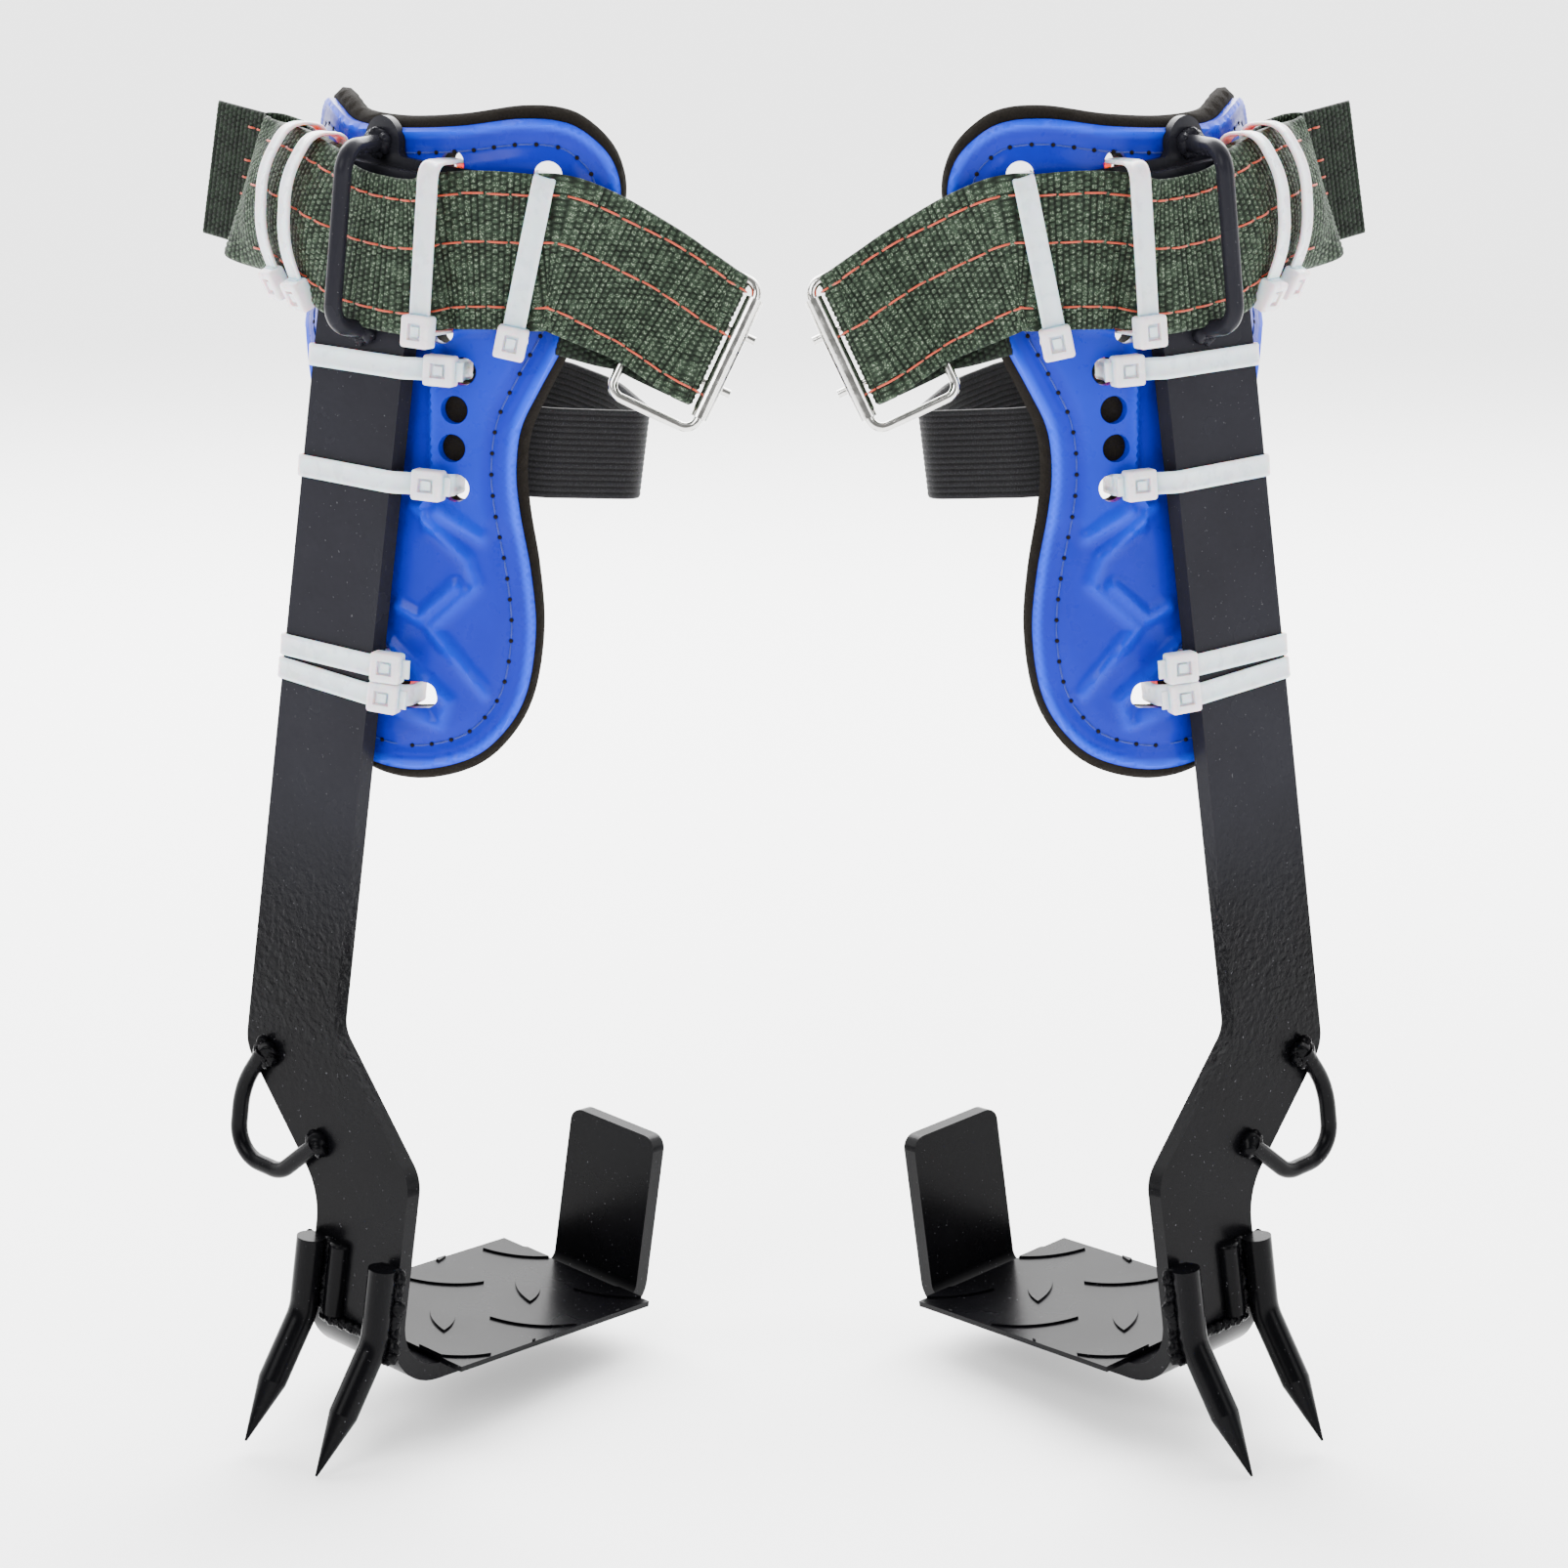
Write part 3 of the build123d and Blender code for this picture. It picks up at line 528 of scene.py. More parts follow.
ENAMEL = enamel()
GUARD = guard_plastic()
FOAM = foam()
GREEN = web_fabric("green_webbing", (0.001, 0.002, 0.001), (0.028, 0.046, 0.028), (0.20, 0.25, 0.18))
# A darker copy of the green webbing: painted shade on the buckle loop, which turns away behind the buckle,
# and on the strap tail.
SHADED_GREEN = web_fabric("shaded_webbing", (0.0005, 0.001, 0.0005), (0.008, 0.015, 0.008), (0.03, 0.045, 0.03))
ELASTIC = web_fabric("black_elastic", (0.0003, 0.0003, 0.0004), (0.004, 0.004, 0.005), (0.018, 0.018, 0.02))
ORANGE = thread("orange_thread", (0.36, 0.025, 0.005), (0.60, 0.06, 0.012))
BLUE_THREAD = thread("blue_thread", (0.002, 0.010, 0.12), (0.006, 0.03, 0.30))
NYLON = nylon()
NICKEL = nickel()

slot_paint = {
    "black_enamel": ENAMEL, "blue_guard": GUARD, "liner_foam": FOAM, "black_elastic": ELASTIC,
    "green_webbing": GREEN, "nickel_plate": NICKEL, "clear_nylon": NYLON,
}
for part in frame["record"]["subparts"]:
    for holder in frame["nodes"][part["node"]].material_slots:
        holder.material = slot_paint[part["material_slot"]]

EDGE_ROUND = {"shank_bar": 0.8, "foot_plate": 0.4, "calf_plate": 0.6, "gaff_stub": 0.6, "buckle_roller": 0.2}
for node, radius in EDGE_ROUND.items():
    for side in SIDES:
        edge = frame["nodes"][f"{side}_{node}"].modifiers.new("edge", "BEVEL")
        edge.width, edge.segments, edge.limit_method = radius * MM, 2, "ANGLE"
        edge.angle_limit = math.radians(50)

# ------------------------------------------------------------ guard, liner and stitching


def guard_loop(step):
    """The guard's smooth closed outline in (across, along), evenly spaced, and its inward directions."""
    rear_half = [(-a, b) for a, b in GUARD_HALF_OUTLINE[1:-1 - LOBE_ROWS]]
    knots = GUARD_HALF_OUTLINE + REAR_LOBE + rear_half[::-1]
    wrapped = np.array(knots[-2:] + knots + knots[:3], float)
    dense = []
    for a, b, c, d in zip(wrapped[1:], wrapped[2:], wrapped[3:], wrapped[4:]):
        dense.append(spline_step(a, b, c, d, 30))
    dense = np.vstack(dense[: len(knots)])
    dense = np.vstack([dense, dense[:1]])
    run = run_along(dense)
    at = np.linspace(0, run[-1], int(run[-1] / step), endpoint=False)
    loop = points_at(at, run, dense)
    ahead = np.roll(loop, -1, 0) - np.roll(loop, 1, 0)
    ahead /= np.linalg.norm(ahead, axis=1, keepdims=True)
    return loop, np.stack([-ahead[:, 1], ahead[:, 0]], 1)


def inside(points, loop):
    """Which points lie inside a closed loop."""
    x, y = points[:, :1], points[:, 1:]
    ax, ay = loop[:, 0], loop[:, 1]
    bx, by = np.roll(ax, -1), np.roll(ay, -1)
    crossing = (ay > y) != (by > y)
    rise_safe = np.where(by == ay, 1e-9, by - ay)
    hits = crossing & (x < (bx - ax) * (y - ay) / rise_safe + ax)
    return hits.sum(1) % 2 == 1


def to_segments(points, line):
    """The distance from each point to an open polyline."""
    best = np.full(len(points), 1e9)
    for a, b in zip(line, line[1:]):
        a, b = np.array(a, float), np.array(b, float)
        t = np.clip(((points - a) @ (b - a)) / ((b - a) @ (b - a)), 0, 1)
        best = np.minimum(best, np.linalg.norm(points - a - t[:, None] * (b - a), axis=1))
    return best


def hole_loop(place, radius, stretch=0.0):
    """A round hole's edge, or a slot's where the two halves are drawn apart."""
    turn = np.linspace(0, 2 * math.pi, 28, endpoint=False)
    x = np.cos(turn) * radius + np.sign(np.cos(turn)) * stretch
    return np.stack([place[0] + x, place[1] + np.sin(turn) * radius], 1)


def holes_of(radius, kept=()):
    """The edges of the tie holes, apart from the places kept whole, and of the low slot."""
    round_ones = [hole_loop(place, radius) for place in TIE_HOLES + REAR_TIE_HOLES if place not in kept]
    return [*round_ones, hole_loop(LOW_SLOT, radius, 8 - radius)]


def flat_sheet(loop, holes, step):
    """Triangles that fill a loop around its holes, from an even grid of points."""
    low, high = loop.min(0), loop.max(0)
    gx, gy = np.meshgrid(np.arange(low[0], high[0], step), np.arange(low[1], high[1], step * 0.866))
    gx = gx + (np.arange(len(gx)) % 2)[:, None] * step / 2
    grid = np.stack([gx.ravel(), gy.ravel()], 1)
    keep = inside(grid, loop) & (to_segments(grid, np.vstack([loop, loop[:1]])) > step * 0.5)
    for hole in holes:
        middle = hole.mean(0)
        reach = np.linalg.norm(hole - middle, axis=1).max() + step * 0.5
        keep &= np.linalg.norm(grid - middle, axis=1) > reach
    rings = [loop, *holes]
    edges, base = [], 0
    for ring in rings:
        edges += [(base + i, base + (i + 1) % len(ring)) for i in range(len(ring))]
        base += len(ring)
    points = np.vstack([*rings, grid[keep]])
    verts, _, faces, *_ = delaunay_2d_cdt([Vector(p) for p in points.tolist()], edges, [], 0, 1e-5)
    points = np.array([tuple(v) for v in verts])
    triangles = np.array([f for f in faces if len(f) == 3])
    middles = points[triangles].mean(1)
    good = inside(middles, loop)
    for hole in holes:
        good &= ~inside(middles, hole)
    return points, triangles[good]


def slab(points, triangles, front, back, shade):
    """A closed sheet with a front and a back over the same triangles."""
    count = len(points)
    directed = np.concatenate([triangles[:, [0, 1]], triangles[:, [1, 2]], triangles[:, [2, 0]]])
    known = {tuple(e) for e in directed.tolist()}
    rim = np.array([e for e in directed.tolist() if (e[1], e[0]) not in known])
    walls = np.stack([rim[:, 1], rim[:, 0], rim[:, 0] + count, rim[:, 1] + count], 1)
    return (
        np.vstack([front, back]),
        [triangles, triangles[:, ::-1] + count, walls],
        np.concatenate([shade, shade]),
    )


STITCH_INSET, STITCH_PITCH, PIERCED_RADIUS = 8.0, 7.0, 0.75
GUARD_STEP, LINER_STEP = 1.5, 2.5
EDGE_BANDS = [(1.2, 1.5, 1.3), (0.35, 4.8, 0.7), (-0.4, STITCH_INSET, 0.9)]  # height, inset and half width
FIELD_RISE, FIELD_INSET = 0.8, 11
PANEL_RIDGE, CREASE_RIDGE, CREASE_REACH = 1.9, 2.0, 3.6
PANEL_EDGE = [(36, 40), (24, 38.5), (16.5, 35), (14.5, 28), (12.6, -13.4), (8, -19)]
CREASES = [
    [(5, -19), (22.6, -36.5), (25.3, -45.7), (9.5, -59.4), (26.6, -82.6)],
    [(14.3, -20.7), (27.9, -29.8)],
    [(-2.1, -52.6), (5.8, -56.5), (18.7, -45.6)],
    [(-8.1, -62.9), (13.5, -84.3), (10.7, -92.6), (-4.5, -87)],
]


def guard_relief(places, edge_distance):
    """How far the moulded face stands out, by its rim, second contour, stitch groove, panels and creases."""
    lift = sum(high * np.exp(-(((edge_distance - inset) / half) ** 2)) for high, inset, half in EDGE_BANDS)
    lift = lift + FIELD_RISE / (1 + np.exp(-(edge_distance - FIELD_INSET) / 0.5))
    mirrored = np.stack([np.abs(places[:, 0]), places[:, 1]], 1)
    panel = to_segments(mirrored, PANEL_EDGE)
    lift += PANEL_RIDGE * np.exp(-((panel / 1.3) ** 2))
    beyond = mirrored[:, 0] > np.interp(mirrored[:, 1], [-19, -13.4, 28, 35], [8, 12.6, 14.5, 16.5])
    band = np.clip((mirrored[:, 1] + 30) / 6, 0, 1) * np.clip((44 - mirrored[:, 1]) / 5, 0, 1)
    lift += np.where(beyond, 0.8, -0.5) * band * np.clip(panel / 1.5, 0, 1)
    for line in CREASES:
        away = to_segments(places, line)
        lift += CREASE_RIDGE * np.clip(1 - away / CREASE_REACH, 0, 1) ** 1.3
    return lift


guard_edge, guard_inward = guard_loop(GUARD_STEP)
guard_flat, guard_triangles = flat_sheet(guard_edge, holes_of(HOLE_RADIUS), GUARD_STEP)
edge_distance = to_segments(guard_flat, np.vstack([guard_edge, guard_edge[:1]]))
relief = guard_relief(guard_flat, edge_distance)
# Painted highlight: a lighter band along the rim, and lighter blue where the relief stands higher.
guard_painted_highlight = np.clip(0.8 * np.exp(-((edge_distance - 1.5) / 1.5) ** 2) + 0.16 * (relief - 0.8), 0, 1)
guard_front = guard_point(guard_flat, GUARD_OUTER + relief - 0.3)
guard_back = guard_point(guard_flat, GUARD_OUTER - GUARD_THICK)
guard_shape = slab(guard_flat, guard_triangles, guard_front, guard_back, guard_painted_highlight)
add_pair("guard_shell_moulded", guard_shape, GUARD, ["guard_shell"], sharp=50)

liner_loop = guard_edge - guard_inward * LINER_REACH
liner_flat, liner_triangles = flat_sheet(liner_loop, holes_of(HOLE_RADIUS + 0.6, BLIND_HOLES), LINER_STEP)
liner_edge = to_segments(liner_flat, np.vstack([liner_loop, liner_loop[:1]]))
roll = 2.2 * (1 - np.sqrt(1 - np.clip(1 - liner_edge / 2.5, 0, 1) ** 2))
wave = 0.35 * np.sin(liner_flat[:, 0] / 6) * np.sin(liner_flat[:, 1] / 7.5)
liner_front = guard_point(liner_flat, LINER_OUTER - 0.1 - roll)
liner_back = guard_point(liner_flat, LINER_OUTER - LINER_THICK + roll + wave)
liner_shape = slab(liner_flat, liner_triangles, liner_front, liner_back, np.zeros(len(liner_flat)))
for pad in add_pair("foam_liner_pad", liner_shape, FOAM, ["foam_liner"], sharp=60):
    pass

stitch_path = guard_edge + guard_inward * STITCH_INSET
stitch_run = run_along(stitch_path)
sink = np.array([-0.7, 0.0, 0.25, 0.35, 0.35, 0.25, 0.0, -0.7])  # each stitch arches up from the holes
guard_stitches, pierced = [], []
for start in np.arange(0, stitch_run[-1] - STITCH_PITCH, STITCH_PITCH):
    runs = np.linspace(start, start + STITCH_PITCH, 8)
    places = points_at(runs, stitch_run, stitch_path)
    surface = GUARD_OUTER - 0.3 + guard_relief(places, np.full(len(places), STITCH_INSET))
    guard_stitches.append(rod(guard_point(places, surface + sink), 0.25, 6))
    pit = surface[:1] + np.array([-1.2, 0.42])
    pierced.append(rod(guard_point(places[:1].repeat(2, 0), pit), PIERCED_RADIUS, 10))
add_pair("guard_stitching", join(guard_stitches), BLUE_THREAD)
add_pair("guard_stitch_holes", join(pierced), FOAM)

# ------------------------------------------------------------ straps

UP = (0, 0, 1)
END_RISE = 4.2  # how far the strap has crept up the buckle
strap_stations = [
    ((-96, 24.5, 381), (0.05, 0, 1)),
    ((-110, 26.5, 381), (0.22, 0, 1)),
    ((-117.5, 23.5, 381), (0.28, 0, 1)),
    ((-117, 17.6, 380.5), (0.28, 0, 1)),
    ((-107, 12.2, 380), (0.2, 0, 1)),
    ((-91, 6, 380.5), (0.05, 0, 1)),
    ((-68, -1.5, 378), UP),
    ((-48, -4.6, 374), UP),
    ((-34, -4.3, 373.2), UP),
    ((-20, -2.2, 374), UP),
    (calf_point(75.4, 17, 377), UP),
    (calf_point(74.4, 27, 379.3), UP),
    (calf_point(74.6, 38, 380.5), UP),
    (calf_point(75.8, 46, 381.3), (0.05, 0.12, 1)),
    (at_buckle(37, 7.5, LAYER_GAP + 0.6), unit(buckle_up + np.array([0, -0.10, 0]))),
    (at_buckle(24, 6.2, LAYER_GAP + 0.6), buckle_up),
    (at_buckle(LOOP_TURN + 1, END_RISE, LAYER_GAP), buckle_up),
    (at_buckle(LOOP_TURN - 3.6, END_RISE, LAYER_GAP * 0.68), buckle_up),
    (at_buckle(LOOP_TURN - 5.6, END_RISE, 0), buckle_up),
    (at_buckle(LOOP_TURN - 3.6, END_RISE, -LAYER_GAP * 0.68), buckle_up),
    (at_buckle(LOOP_TURN + 1, END_RISE, -LAYER_GAP), buckle_up),
]


GATHER, GATHER_FROM, GATHER_OVER = 0.09, 62, 34  # the share drawn in, and where before the end it happens


def gathered(at, total):
    """The strap's spread across its width: full in the open, drawn in towards the buckle."""
    to_end = np.clip((at - total + GATHER_FROM) / GATHER_OVER, 0, 1)
    return 1 - GATHER * to_end**2 * (3 - 2 * to_end) + 0.012 * np.sin(at / 11)


strap_shape, strap_frames = webbing(strap_stations, WEB_WIDTH, WEB_THICK, gather=gathered)
add_pair("calf_strap_woven", strap_shape, GREEN, ["calf_strap"])
STITCH_ROWS = (-0.37, 0.06, 0.38)
rows = [
    stitches(strap_frames, share * WEB_WIDTH * 0.96, WEB_THICK / 2 + 0.1, first=44)
    for share in STITCH_ROWS
]
add_pair("calf_strap_stitching", join(rows), ORANGE)

loop_stations = [
    (at_buckle(LOOP_TURN + 1.5, END_RISE, -LAYER_GAP), buckle_up),
    (at_buckle(24, END_RISE, -LAYER_GAP + 0.2), buckle_up),
    (at_buckle(34, END_RISE, -2.6), buckle_up),
    (at_buckle(42, 2, 0.6), buckle_up),
    (calf_point(72.9, 50, 371), (0.02, 0.12, 1)),
]
loop_shape = webbing(loop_stations, WEB_WIDTH * 0.9, WEB_THICK)[0]
add_pair("buckle_loop_woven", loop_shape, SHADED_GREEN, ["buckle_loop"])

bundle_stations = [
    ((-111, 18.6, 380), (0.1, 0, 1)),
    ((-91, 11.6, 380), (0.05, 0, 1)),
    ((-74, 6.3, 379), UP),
    ((-64, 4.6, 378), UP),
]
bundle_shape = webbing(bundle_stations, WEB_WIDTH - 2, FOLDED_THICK)[0]
add_pair("strap_bundle_woven", bundle_shape, GREEN, ["strap_bundle"])

tail_stations = [
    ((-149, 31, 382), (0.66, 0, 1)),
    ((-130, 30.5, 381.5), (0.45, 0, 1)),
    ((-110, 29.5, 381), (0.2, 0, 1)),
    ((-98, 27.2, 380), (0.08, 0, 1)),
]
tail_shape, tail_frames = webbing(tail_stations, WEB_WIDTH - 4, WEB_THICK, bulging=0.0)
add_pair("strap_tail_woven", tail_shape, SHADED_GREEN, ["strap_tail"])
tail_rows = [
    stitches(tail_frames, offset, WEB_THICK / 2 + 0.1, first=16, last=30, length=3.4, bulging=0.0)
    for offset in (-17, -6, 0, 6, 17)
]
add_pair("strap_tail_stitching", join(tail_rows), ORANGE)

# ------------------------------------------------------------ elastic

ELASTIC_BOTTOM, ELASTIC_WIDTH, ELASTIC_RIBS = 299.0, 30.0, 15


def elastic_shape():
    """The ribbed elastic loop: flat inside the liner, sharply folded in front, bowed behind the leg."""
    inner = LINER_OUTER - LINER_THICK - 1.7
    corners = [calf_point(inner, a)[:2] for a in (30, 47)]
    corners += [(18.3, 82), (-18, 104), (-62, 108), (-92, 80)]
    corners += [calf_point(inner, a)[:2] for a in (-26, -19)]
    flat, at = rounded(corners, 9, closed=False, step=1.5)
    ahead = np.gradient(flat, axis=0)
    ahead /= np.linalg.norm(ahead, axis=1, keepdims=True)
    out = np.stack([ahead[:, 1], -ahead[:, 0]], 1)
    heights = np.linspace(0, 1, ELASTIC_RIBS * 6 + 1)
    ribs = 0.5 + 0.32 * np.abs(np.sin(heights * ELASTIC_RIBS * math.pi)) ** 0.7
    drop = np.interp(at, [0, at[-1] * 0.25, at[-1] * 0.5, at[-1]], [0, -1.5, 2.5, 0])
    sides = []
    for facing in (1, -1):
        face = np.zeros((len(at), len(heights), 3))
        face[..., :2] = flat[:, None] + facing * out[:, None] * ribs[None, :, None]
        face[..., 2] = ELASTIC_BOTTOM + heights * ELASTIC_WIDTH + drop[:, None]
        sides.append(face if facing == 1 else face[:, ::-1])
    # Painted shade: darker in the grooves between the ribs, lighter on the rib tops.
    shade = np.broadcast_to((ribs - 0.5) / 0.32, (len(at), len(heights)))
    return skin(np.concatenate(sides, 1)[:, ::-1], shade=np.concatenate([shade, shade], 1))


add_pair("elastic_band_ribbed", elastic_shape(), ELASTIC, ["elastic_band"])

# ------------------------------------------------------------ zip ties


def box_ring(length, width, corner, height):
    """A rounded rectangle as a ring of points at a height."""
    ring = []
    for turn, (sx, sy) in enumerate(((1, 1), (-1, 1), (-1, -1), (1, -1))):
        x, y = sx * (length / 2 - corner), sy * (width / 2 - corner)
        for k in range(4):
            angle = math.radians(turn * 90 + k * 30)
            ring.append((x + corner * math.cos(angle), y + corner * math.sin(angle), height))
    return ring


def tie_head(place, along, out, length=10.4, width=10.0, depth=6.0):
    """The box head: rounded edges and a window with the pawl in it; its middle at place."""
    rings = [
        box_ring(length - 0.8, width - 0.8, 0.8, -depth / 2),
        box_ring(length, width, 1.0, -depth / 2 + 0.4),
        box_ring(length, width, 1.0, depth / 2 - 0.9),
        box_ring(length - 0.5, width - 0.5, 1.0, depth / 2 - 0.3),
        box_ring(length - 1.4, width - 1.4, 0.9, depth / 2),
        box_ring(5.6, 4.8, 0.4, depth / 2),
        box_ring(5.2, 4.4, 0.4, depth / 2 - 1.6),
    ]
    along, out = unit(along), unit(out)
    turn = np.array([along, np.cross(out, along), out])
    pawl = [box_ring(3.4, 3.2, 0.3, depth / 2 - 1.7), box_ring(3.0, 2.8, 0.3, depth / 2 - 0.5)]
    return join([skin(np.array(part) @ turn + place) for part in (rings, pawl)])


# The strip's section in shares of its width and thickness, with a shallow trough along its outside
STRIP_SECTION = np.array([
    (-0.5, 0.25), (-0.42, 0.5), (-0.30, 0.5), (-0.28, 0.40), (0.28, 0.40), (0.30, 0.5), (0.42, 0.5),
    (0.5, 0.25), (0.5, -0.25), (0.42, -0.5), (-0.42, -0.5), (-0.5, -0.25),
])
TROUGH = slice(3, 5)  # the section's points in the trough, which carry the teeth
TOOTH = 0.10


def tie_strip(points, normal):
    """A closed strip along points in the plane of the normal, with a ladder of fine ribs on its outside."""
    normal = unit(normal)
    ahead = np.roll(points, -1, 0) - np.roll(points, 1, 0)
    ahead /= np.linalg.norm(ahead, axis=1, keepdims=True)
    out = np.cross(ahead, normal)
    if np.sum(out * (points - points.mean(0))) < 0:
        out = -out
    teeth = TOOTH * (np.arange(len(points)) % 2)
    lift = np.broadcast_to(STRIP_SECTION[:, 1] * TIE_THICK, (len(points), len(STRIP_SECTION))).copy()
    lift[:, TROUGH] += teeth[:, None]
    across_strip = normal * (STRIP_SECTION[:, 0] * TIE_WIDTH)[None, :, None]
    shape = skin(points[:, None] + across_strip + out[:, None] * lift[..., None], closed=True)
    if np.sum(np.cross(out[0], normal) * ahead[0]) > 0:
        shape = (shape[0], [g[:, ::-1] for g in shape[1]], shape[2])
    return shape


def tie_from(corners, bend, origin, x_axis, normal, head_at, head_out, tail_length=2.6):
    """A whole tie from its outer corners in a plane, its head and the cut tail that passes it."""
    normal = unit(normal)
    x_axis = unit(np.array(x_axis, float) - normal * np.dot(x_axis, normal))
    y_axis = np.cross(normal, x_axis)
    flat = rounded(corners, bend + TIE_THICK / 2, step=0.7)[0]
    ahead = np.roll(flat, -1, 0) - np.roll(flat, 1, 0)
    ahead /= np.linalg.norm(ahead, axis=1, keepdims=True)
    inward = np.stack([-ahead[:, 1], ahead[:, 0]], 1)
    area = np.sum(flat[:, 0] * np.roll(flat[:, 1], -1) - np.roll(flat[:, 0], -1) * flat[:, 1])
    flat = flat + (inward if area > 0 else -inward) * TIE_THICK / 2
    points = origin + flat[:, :1] * x_axis + flat[:, 1:] * y_axis
    place = origin + head_at[0] * x_axis + head_at[1] * y_axis
    out = head_out[0] * x_axis + head_out[1] * y_axis
    along = np.cross(normal, unit(out))
    head = tie_head(place, along, out)
    stub_line = place + unit(along) * np.array([[4.0], [5.0 + tail_length]]) - unit(out) * 0.6
    stub_rows = np.array([unit(along), normal, np.cross(unit(along), normal)])
    ring = np.array(box_ring(TIE_THICK, TIE_WIDTH - 1, 0.4, 0.0))[:, [2, 1, 0]] @ stub_rows
    stub = skin(np.array([ring + stub_line[0], ring + stub_line[1]]))
    return join([tie_strip(points, normal), head, stub])


INSIDE = LINER_OUTER - LINER_THICK - 0.5 - TIE_THICK
OUTSIDE = PLATE_OUTER - 1.0


def shank_tie(height, climb, hole_angle, rear_angle, head_at):
    """A tie round the shank and through the guard, by the angles of the holes that it passes."""
    wrap = TIE_THICK + TIE_CLEAR
    spots = ((OUTSIDE, hole_angle), (INSIDE, hole_angle), (INSIDE, rear_angle), (OUTSIDE, rear_angle))
    passes = [calf_point(r, a)[:2] for r, a in spots]
    corners = [(BAR_REAR - wrap, -wrap), (BAR_FRONT + wrap, -wrap)]
    if passes[0][0] < BAR_FRONT:
        corners.append((BAR_FRONT + wrap, BAR_THICK + wrap))
    corners += [tuple(p) for p in passes] + [(BAR_REAR - wrap, BAR_THICK + wrap)]
    corners = [(x - BAR_REAR, y) for x, y in corners]
    origin = np.array([BAR_REAR, 0, height])
    tilt = math.radians(22)
    return tie_from(
        corners, 1.7, origin, (1, 0, climb), (-climb, 0, 1), (head_at[0] - BAR_REAR, head_at[1]),
        (math.sin(tilt), -math.cos(tilt)),
    )


def strap_tie(place, out, lean, bottom, top, outer, inner, bow=0.0):
    """A tie round the strap, which bows out over the strap's bulge; its head sits at its foot."""
    out = unit([out[0], out[1], 0])
    along = np.array([out[1], -out[0], 0]) + np.array([0, 0, math.tan(math.radians(lean))])
    ends, crown = outer - 0.62 * bow, outer + 0.38 * bow
    front = [(ends, bottom), (crown, -10), (crown, 12), (ends, top)]
    if not bow:
        front = [front[0], front[3]]
    corners = [(inner, bottom), *front, (inner, top)]
    head_at, head_out = (outer - 0.5 * bow, bottom + 1.5), (1, -0.07 * bow)
    return tie_from(corners, 11 if bow else 6, np.array(place, float), out, along, head_at, head_out, 0.6)


def calf_tie(angle, lean, outer):
    """A tie round the strap and the guard at an angle on the calf curve."""
    turn = math.radians(angle)
    out = (math.sin(turn), -math.cos(turn))
    return strap_tie(calf_point(PLATE_OUTER, angle, 378), out, lean, -28.0, 27.8, outer, INSIDE - PLATE_OUTER)


tie_shapes = {
    "shank_tie_1": shank_tie(334.6, 0.083, 23.1, -13.0, (-10, 6)),
    "shank_tie_2": shank_tie(297.4, 0.073, 24.7, -6.8, (-10, 6)),
    "shank_tie_3": shank_tie(236.2, 0.065, 9, -18.4, (-14.8, 0.7)),
    "shank_tie_4": shank_tie(228.2, 0.02, 19, -18.4, (-14.8, 0.7)),
    "strap_tie_1": strap_tie((-86, 4.2, 380), (-0.35, -0.94), -6, -27.5, 27.5, 5.5, -14, 8.5),
    "strap_tie_2": strap_tie((-70.5, -0.6, 379), (-0.28, -0.96), -6, -27.5, 27.5, 5.5, -14, 8.5),
    "strap_tie_3": calf_tie(14.6, -3, 13.5),
    "strap_tie_4": calf_tie(37.7, 5, 6.5),
}
for name, shape in tie_shapes.items():
    add_pair(f"{name}_nylon", shape, NYLON, [name], sharp=40)

# ------------------------------------------------------------ welds

GAFF_SPREAD = 17.0
WELD_RIPPLES = ((0.10, 3, 2), (0.07, 7, 6), (0.05, 11, 9))  # depth, waves round and lean of each ripple


def blob(place, size, seed, flat=0.6):
    """A lump of weld metal with an uneven, rippled surface."""
    noise = np.random.default_rng(seed)
    phases = noise.uniform(0, 6.28, len(WELD_RIPPLES))
    rings = []
    for lat in np.linspace(-0.94, 0.94, 12):
        turn = np.linspace(0, 2 * math.pi, 22, endpoint=False)
        r = math.sqrt(1 - lat**2)
        bump = 1
        for phase, (depth, waves, lean) in zip(phases, WELD_RIPPLES):
            bump = bump + depth * np.sin(waves * turn + phase + lean * lat)
        rings.append(np.stack([r * np.cos(turn) * bump, lat * flat * bump, r * np.sin(turn) * bump], 1))
    points = np.array(rings) * np.array(size) + np.array(place)
    return skin(points[::-1])


def bead_row(start, end, count, size, seed, flat=0.6):
    """A run of overlapping weld lumps between two points."""
    noise = np.random.default_rng(seed)
    made = []
    for i, t in enumerate(np.linspace(0, 1, count)):
        place = np.array(start) * (1 - t) + np.array(end) * t + noise.uniform(-0.4, 0.4, 3)
        made.append(blob(place, np.array(size) * noise.uniform(0.8, 1.2), seed + i, flat))
    return made


def nugget(place, seed):
    """A weld round the end of a rod: one low lump with smaller ones run together about it."""
    noise = np.random.default_rng(seed)
    turns = noise.uniform(0, 2 * math.pi, 7)
    spots = [np.array(place) + 3.2 * np.array([math.cos(t), -0.1, math.sin(t)]) for t in turns]
    small = [blob(spot, noise.uniform(1.6, 2.8, 3), seed + 1 + i, 1) for i, spot in enumerate(spots)]
    return [blob(place, (4.6, 3.6, 4.4), seed, 1), *small]


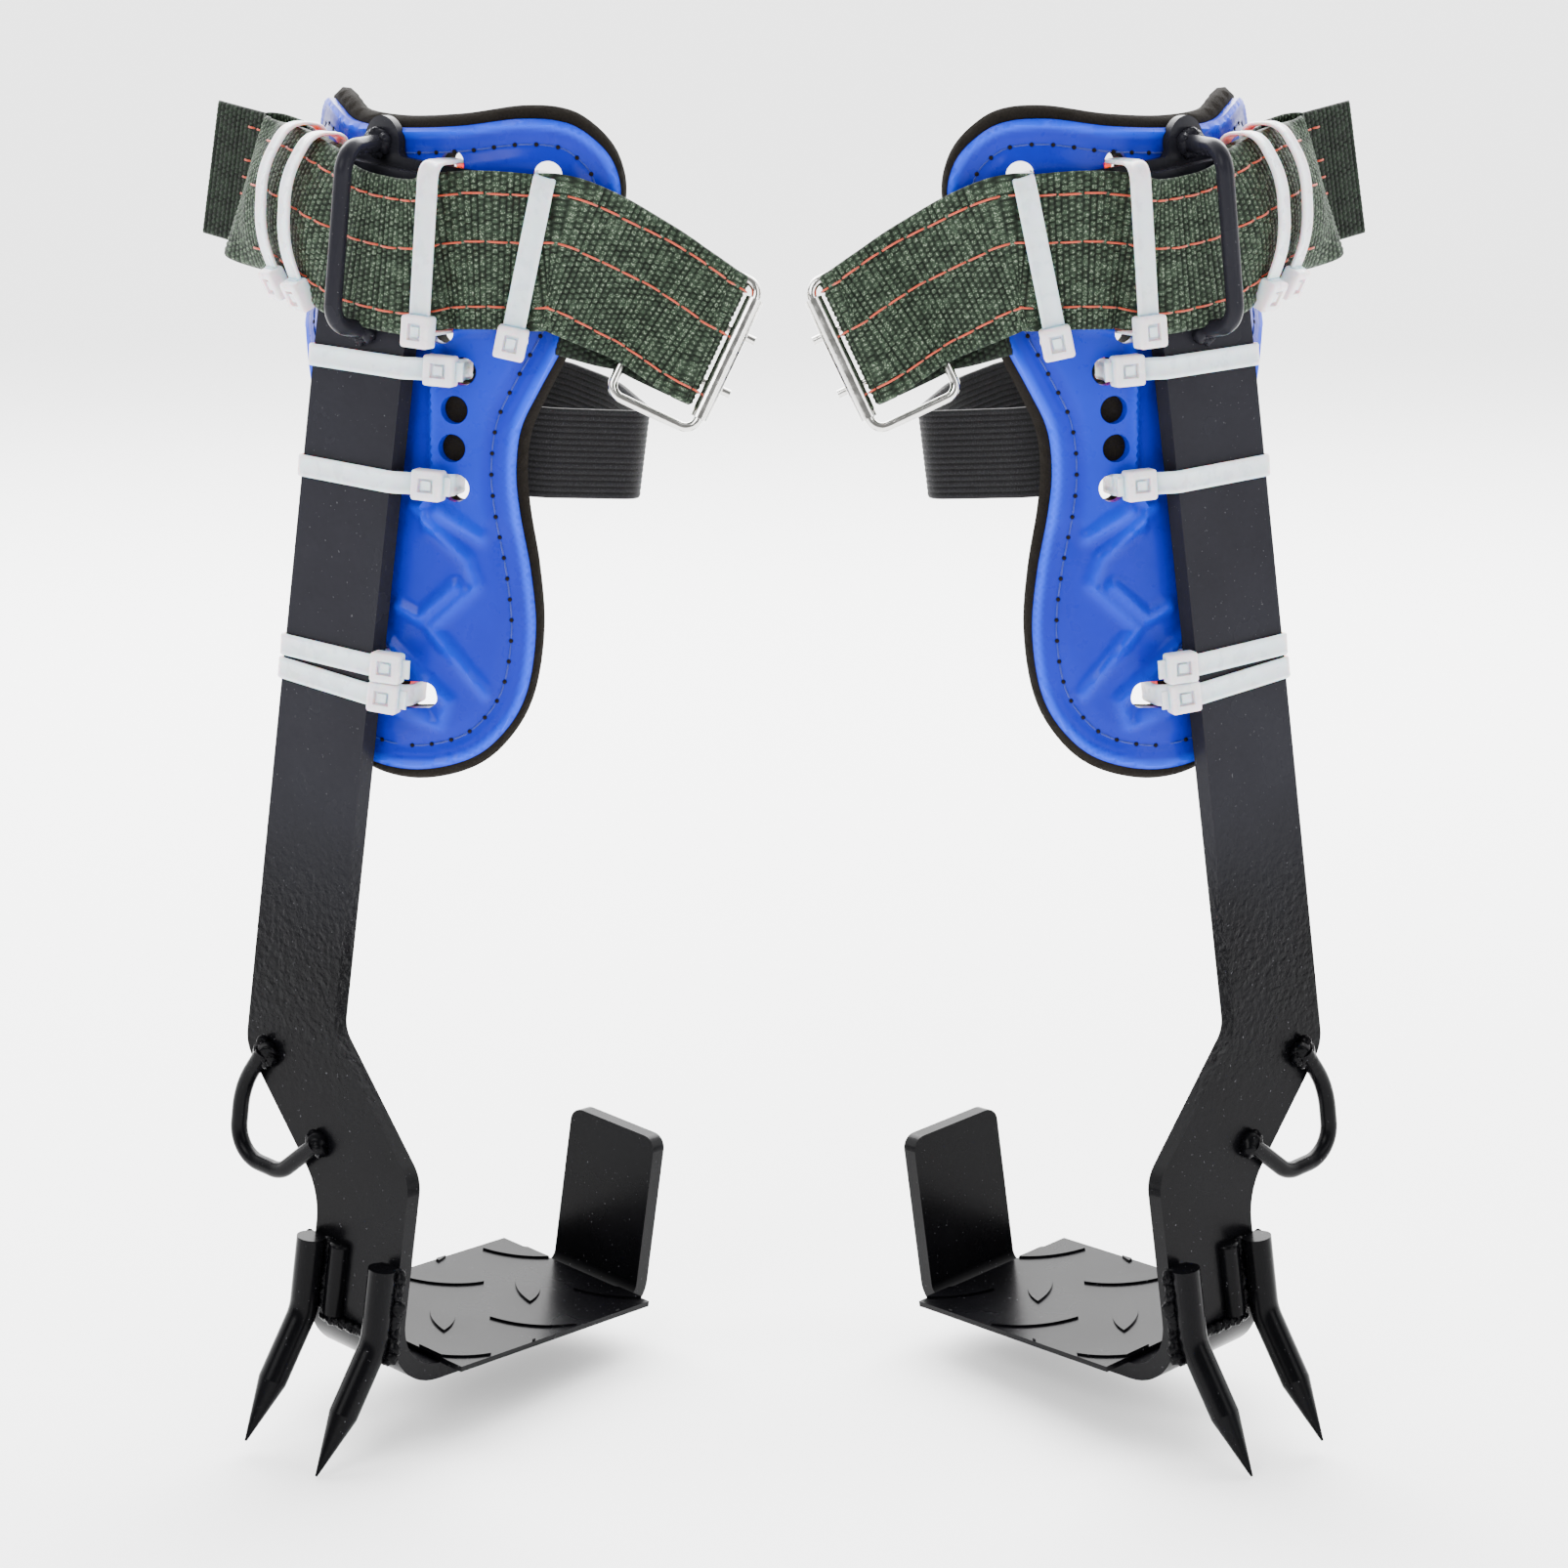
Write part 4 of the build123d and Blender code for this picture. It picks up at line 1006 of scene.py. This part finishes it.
welds = [
    *nugget((-47.0, 5.6, 406.4), 130),
    *nugget((-38.5, -0.8, 347), 140),
    *nugget((-50.2, -1.6, 94.6), 150),
    *nugget((-22.2, -1.6, 69.6), 160),
    *bead_row((-GAFF_SPREAD + 4.6, -0.8, 16), (-GAFF_SPREAD + 4.6, -0.8, 37), 9, (2.2, 2.6, 2.4), 20),
    *bead_row((-GAFF_SPREAD - 4.4, -0.8, 16), (-GAFF_SPREAD - 4.4, -0.8, 37), 9, (2.0, 2.4, 2.4), 40),
    *bead_row((GAFF_SPREAD + 4.0, -1.2, 8), (GAFF_SPREAD + 4.0, -1.2, 36), 11, (3.0, 3.4, 3.0), 60),
    *bead_row((GAFF_SPREAD - 4.8, -0.6, 12), (GAFF_SPREAD - 4.8, -0.6, 36), 9, (1.9, 2.3, 2.4), 80),
    *bead_row((-12, -0.2, 10.5), (12, -0.2, 10.5), 9, (2.6, 2.8, 2.2), 100),
]
add_pair("weld_beads_rippled", join(welds), ENAMEL, ["weld_beads"])

# ------------------------------------------------------------ stage, light and camera


def lamp(name, place, aim, size, power):
    data = bpy.data.lights.new(name, "AREA")
    data.shape = "RECTANGLE"
    data.size, data.size_y = size
    data.energy = power
    light = bpy.data.objects.new(name, data)
    light.location = place
    light.rotation_euler = (Vector(aim) - Vector(place)).to_track_quat("-Z", "Y").to_euler()
    bpy.context.scene.collection.objects.link(light)


def pale(name, colour, roughness):
    paint = Paint(name, Specular_IOR_Level=0.1)
    paint.colour(paint.mix(paint.noise(4, 2), colour, tuple(c * 0.99 for c in colour)))
    paint.rough(paint.ramp(paint.noise(30, 2), 0, 1, roughness, roughness + 0.05))
    return paint.material


FLOOR_HALF, FLOOR_GAP = 20.0, 0.0005
floor_z = cad_box[0][2] - FLOOR_GAP
floor_mesh = bpy.data.meshes.new("floor")
corners = [(x * FLOOR_HALF, y * FLOOR_HALF, floor_z) for x, y in ((-1, -1), (1, -1), (1, 1), (-1, 1))]
floor_mesh.from_pydata(corners, [], [(0, 1, 2, 3)])
floor_mesh.materials.append(pale("pale_floor", (0.97, 0.97, 0.97), 0.7))
floor = bpy.data.objects.new("floor", floor_mesh)
bpy.context.scene.collection.objects.link(floor)

WORLD_GLOW = (-0.35, 0.25, 0.3, 6.0)  # dim on the camera's side, bright behind the spurs
world = bpy.data.worlds.new("studio")
world.use_nodes = True
world_nodes, world_links = world.node_tree.nodes, world.node_tree.links
facing = world_nodes.new("ShaderNodeSeparateXYZ")
world_links.new(world_nodes.new("ShaderNodeTexCoord").outputs["Generated"], facing.inputs["Vector"])
glow = world_nodes.new("ShaderNodeMapRange")
glow.interpolation_type = "SMOOTHSTEP"
for key, value in zip(("From Min", "From Max", "To Min", "To Max"), WORLD_GLOW):
    glow.inputs[key].default_value = value
world_links.new(facing.outputs["Y"], glow.inputs["Value"])
world_links.new(glow.outputs["Result"], world_nodes["Background"].inputs["Strength"])
world_nodes["Background"].inputs["Color"].default_value = (1, 1, 1, 1)
bpy.context.scene.world = world

LIT_SPOT = (0.0, 0.0, 0.23)
lamp("key", (-1.1, -1.5, 1.5), LIT_SPOT, (1.1, 1.1), 40)
lamp("fill", (1.3, -1.3, 0.9), LIT_SPOT, (0.8, 1.4), 18)
lamp("back", (0.0, 1.4, 1.4), LIT_SPOT, (2.4, 1.2), 130)

PITCH = math.radians(14.73)
CAMERA_RANGE, LENS = 1.27911, 89.4
TARGET_ABOVE_ORIGIN = 0.20172
target = Vector((0.0, spur_origin[1], spur_origin[2] + TARGET_ABOVE_ORIGIN))
camera_data = bpy.data.cameras.new("camera")
camera_data.lens, camera_data.sensor_width = LENS, 36
camera = bpy.data.objects.new("camera", camera_data)
back = Vector((0.0, -math.cos(PITCH), math.sin(PITCH)))
camera.location = target + back * CAMERA_RANGE
camera.rotation_euler = (-back).to_track_quat("-Z", "Y").to_euler()
bpy.context.scene.collection.objects.link(camera)
bpy.context.scene.camera = camera
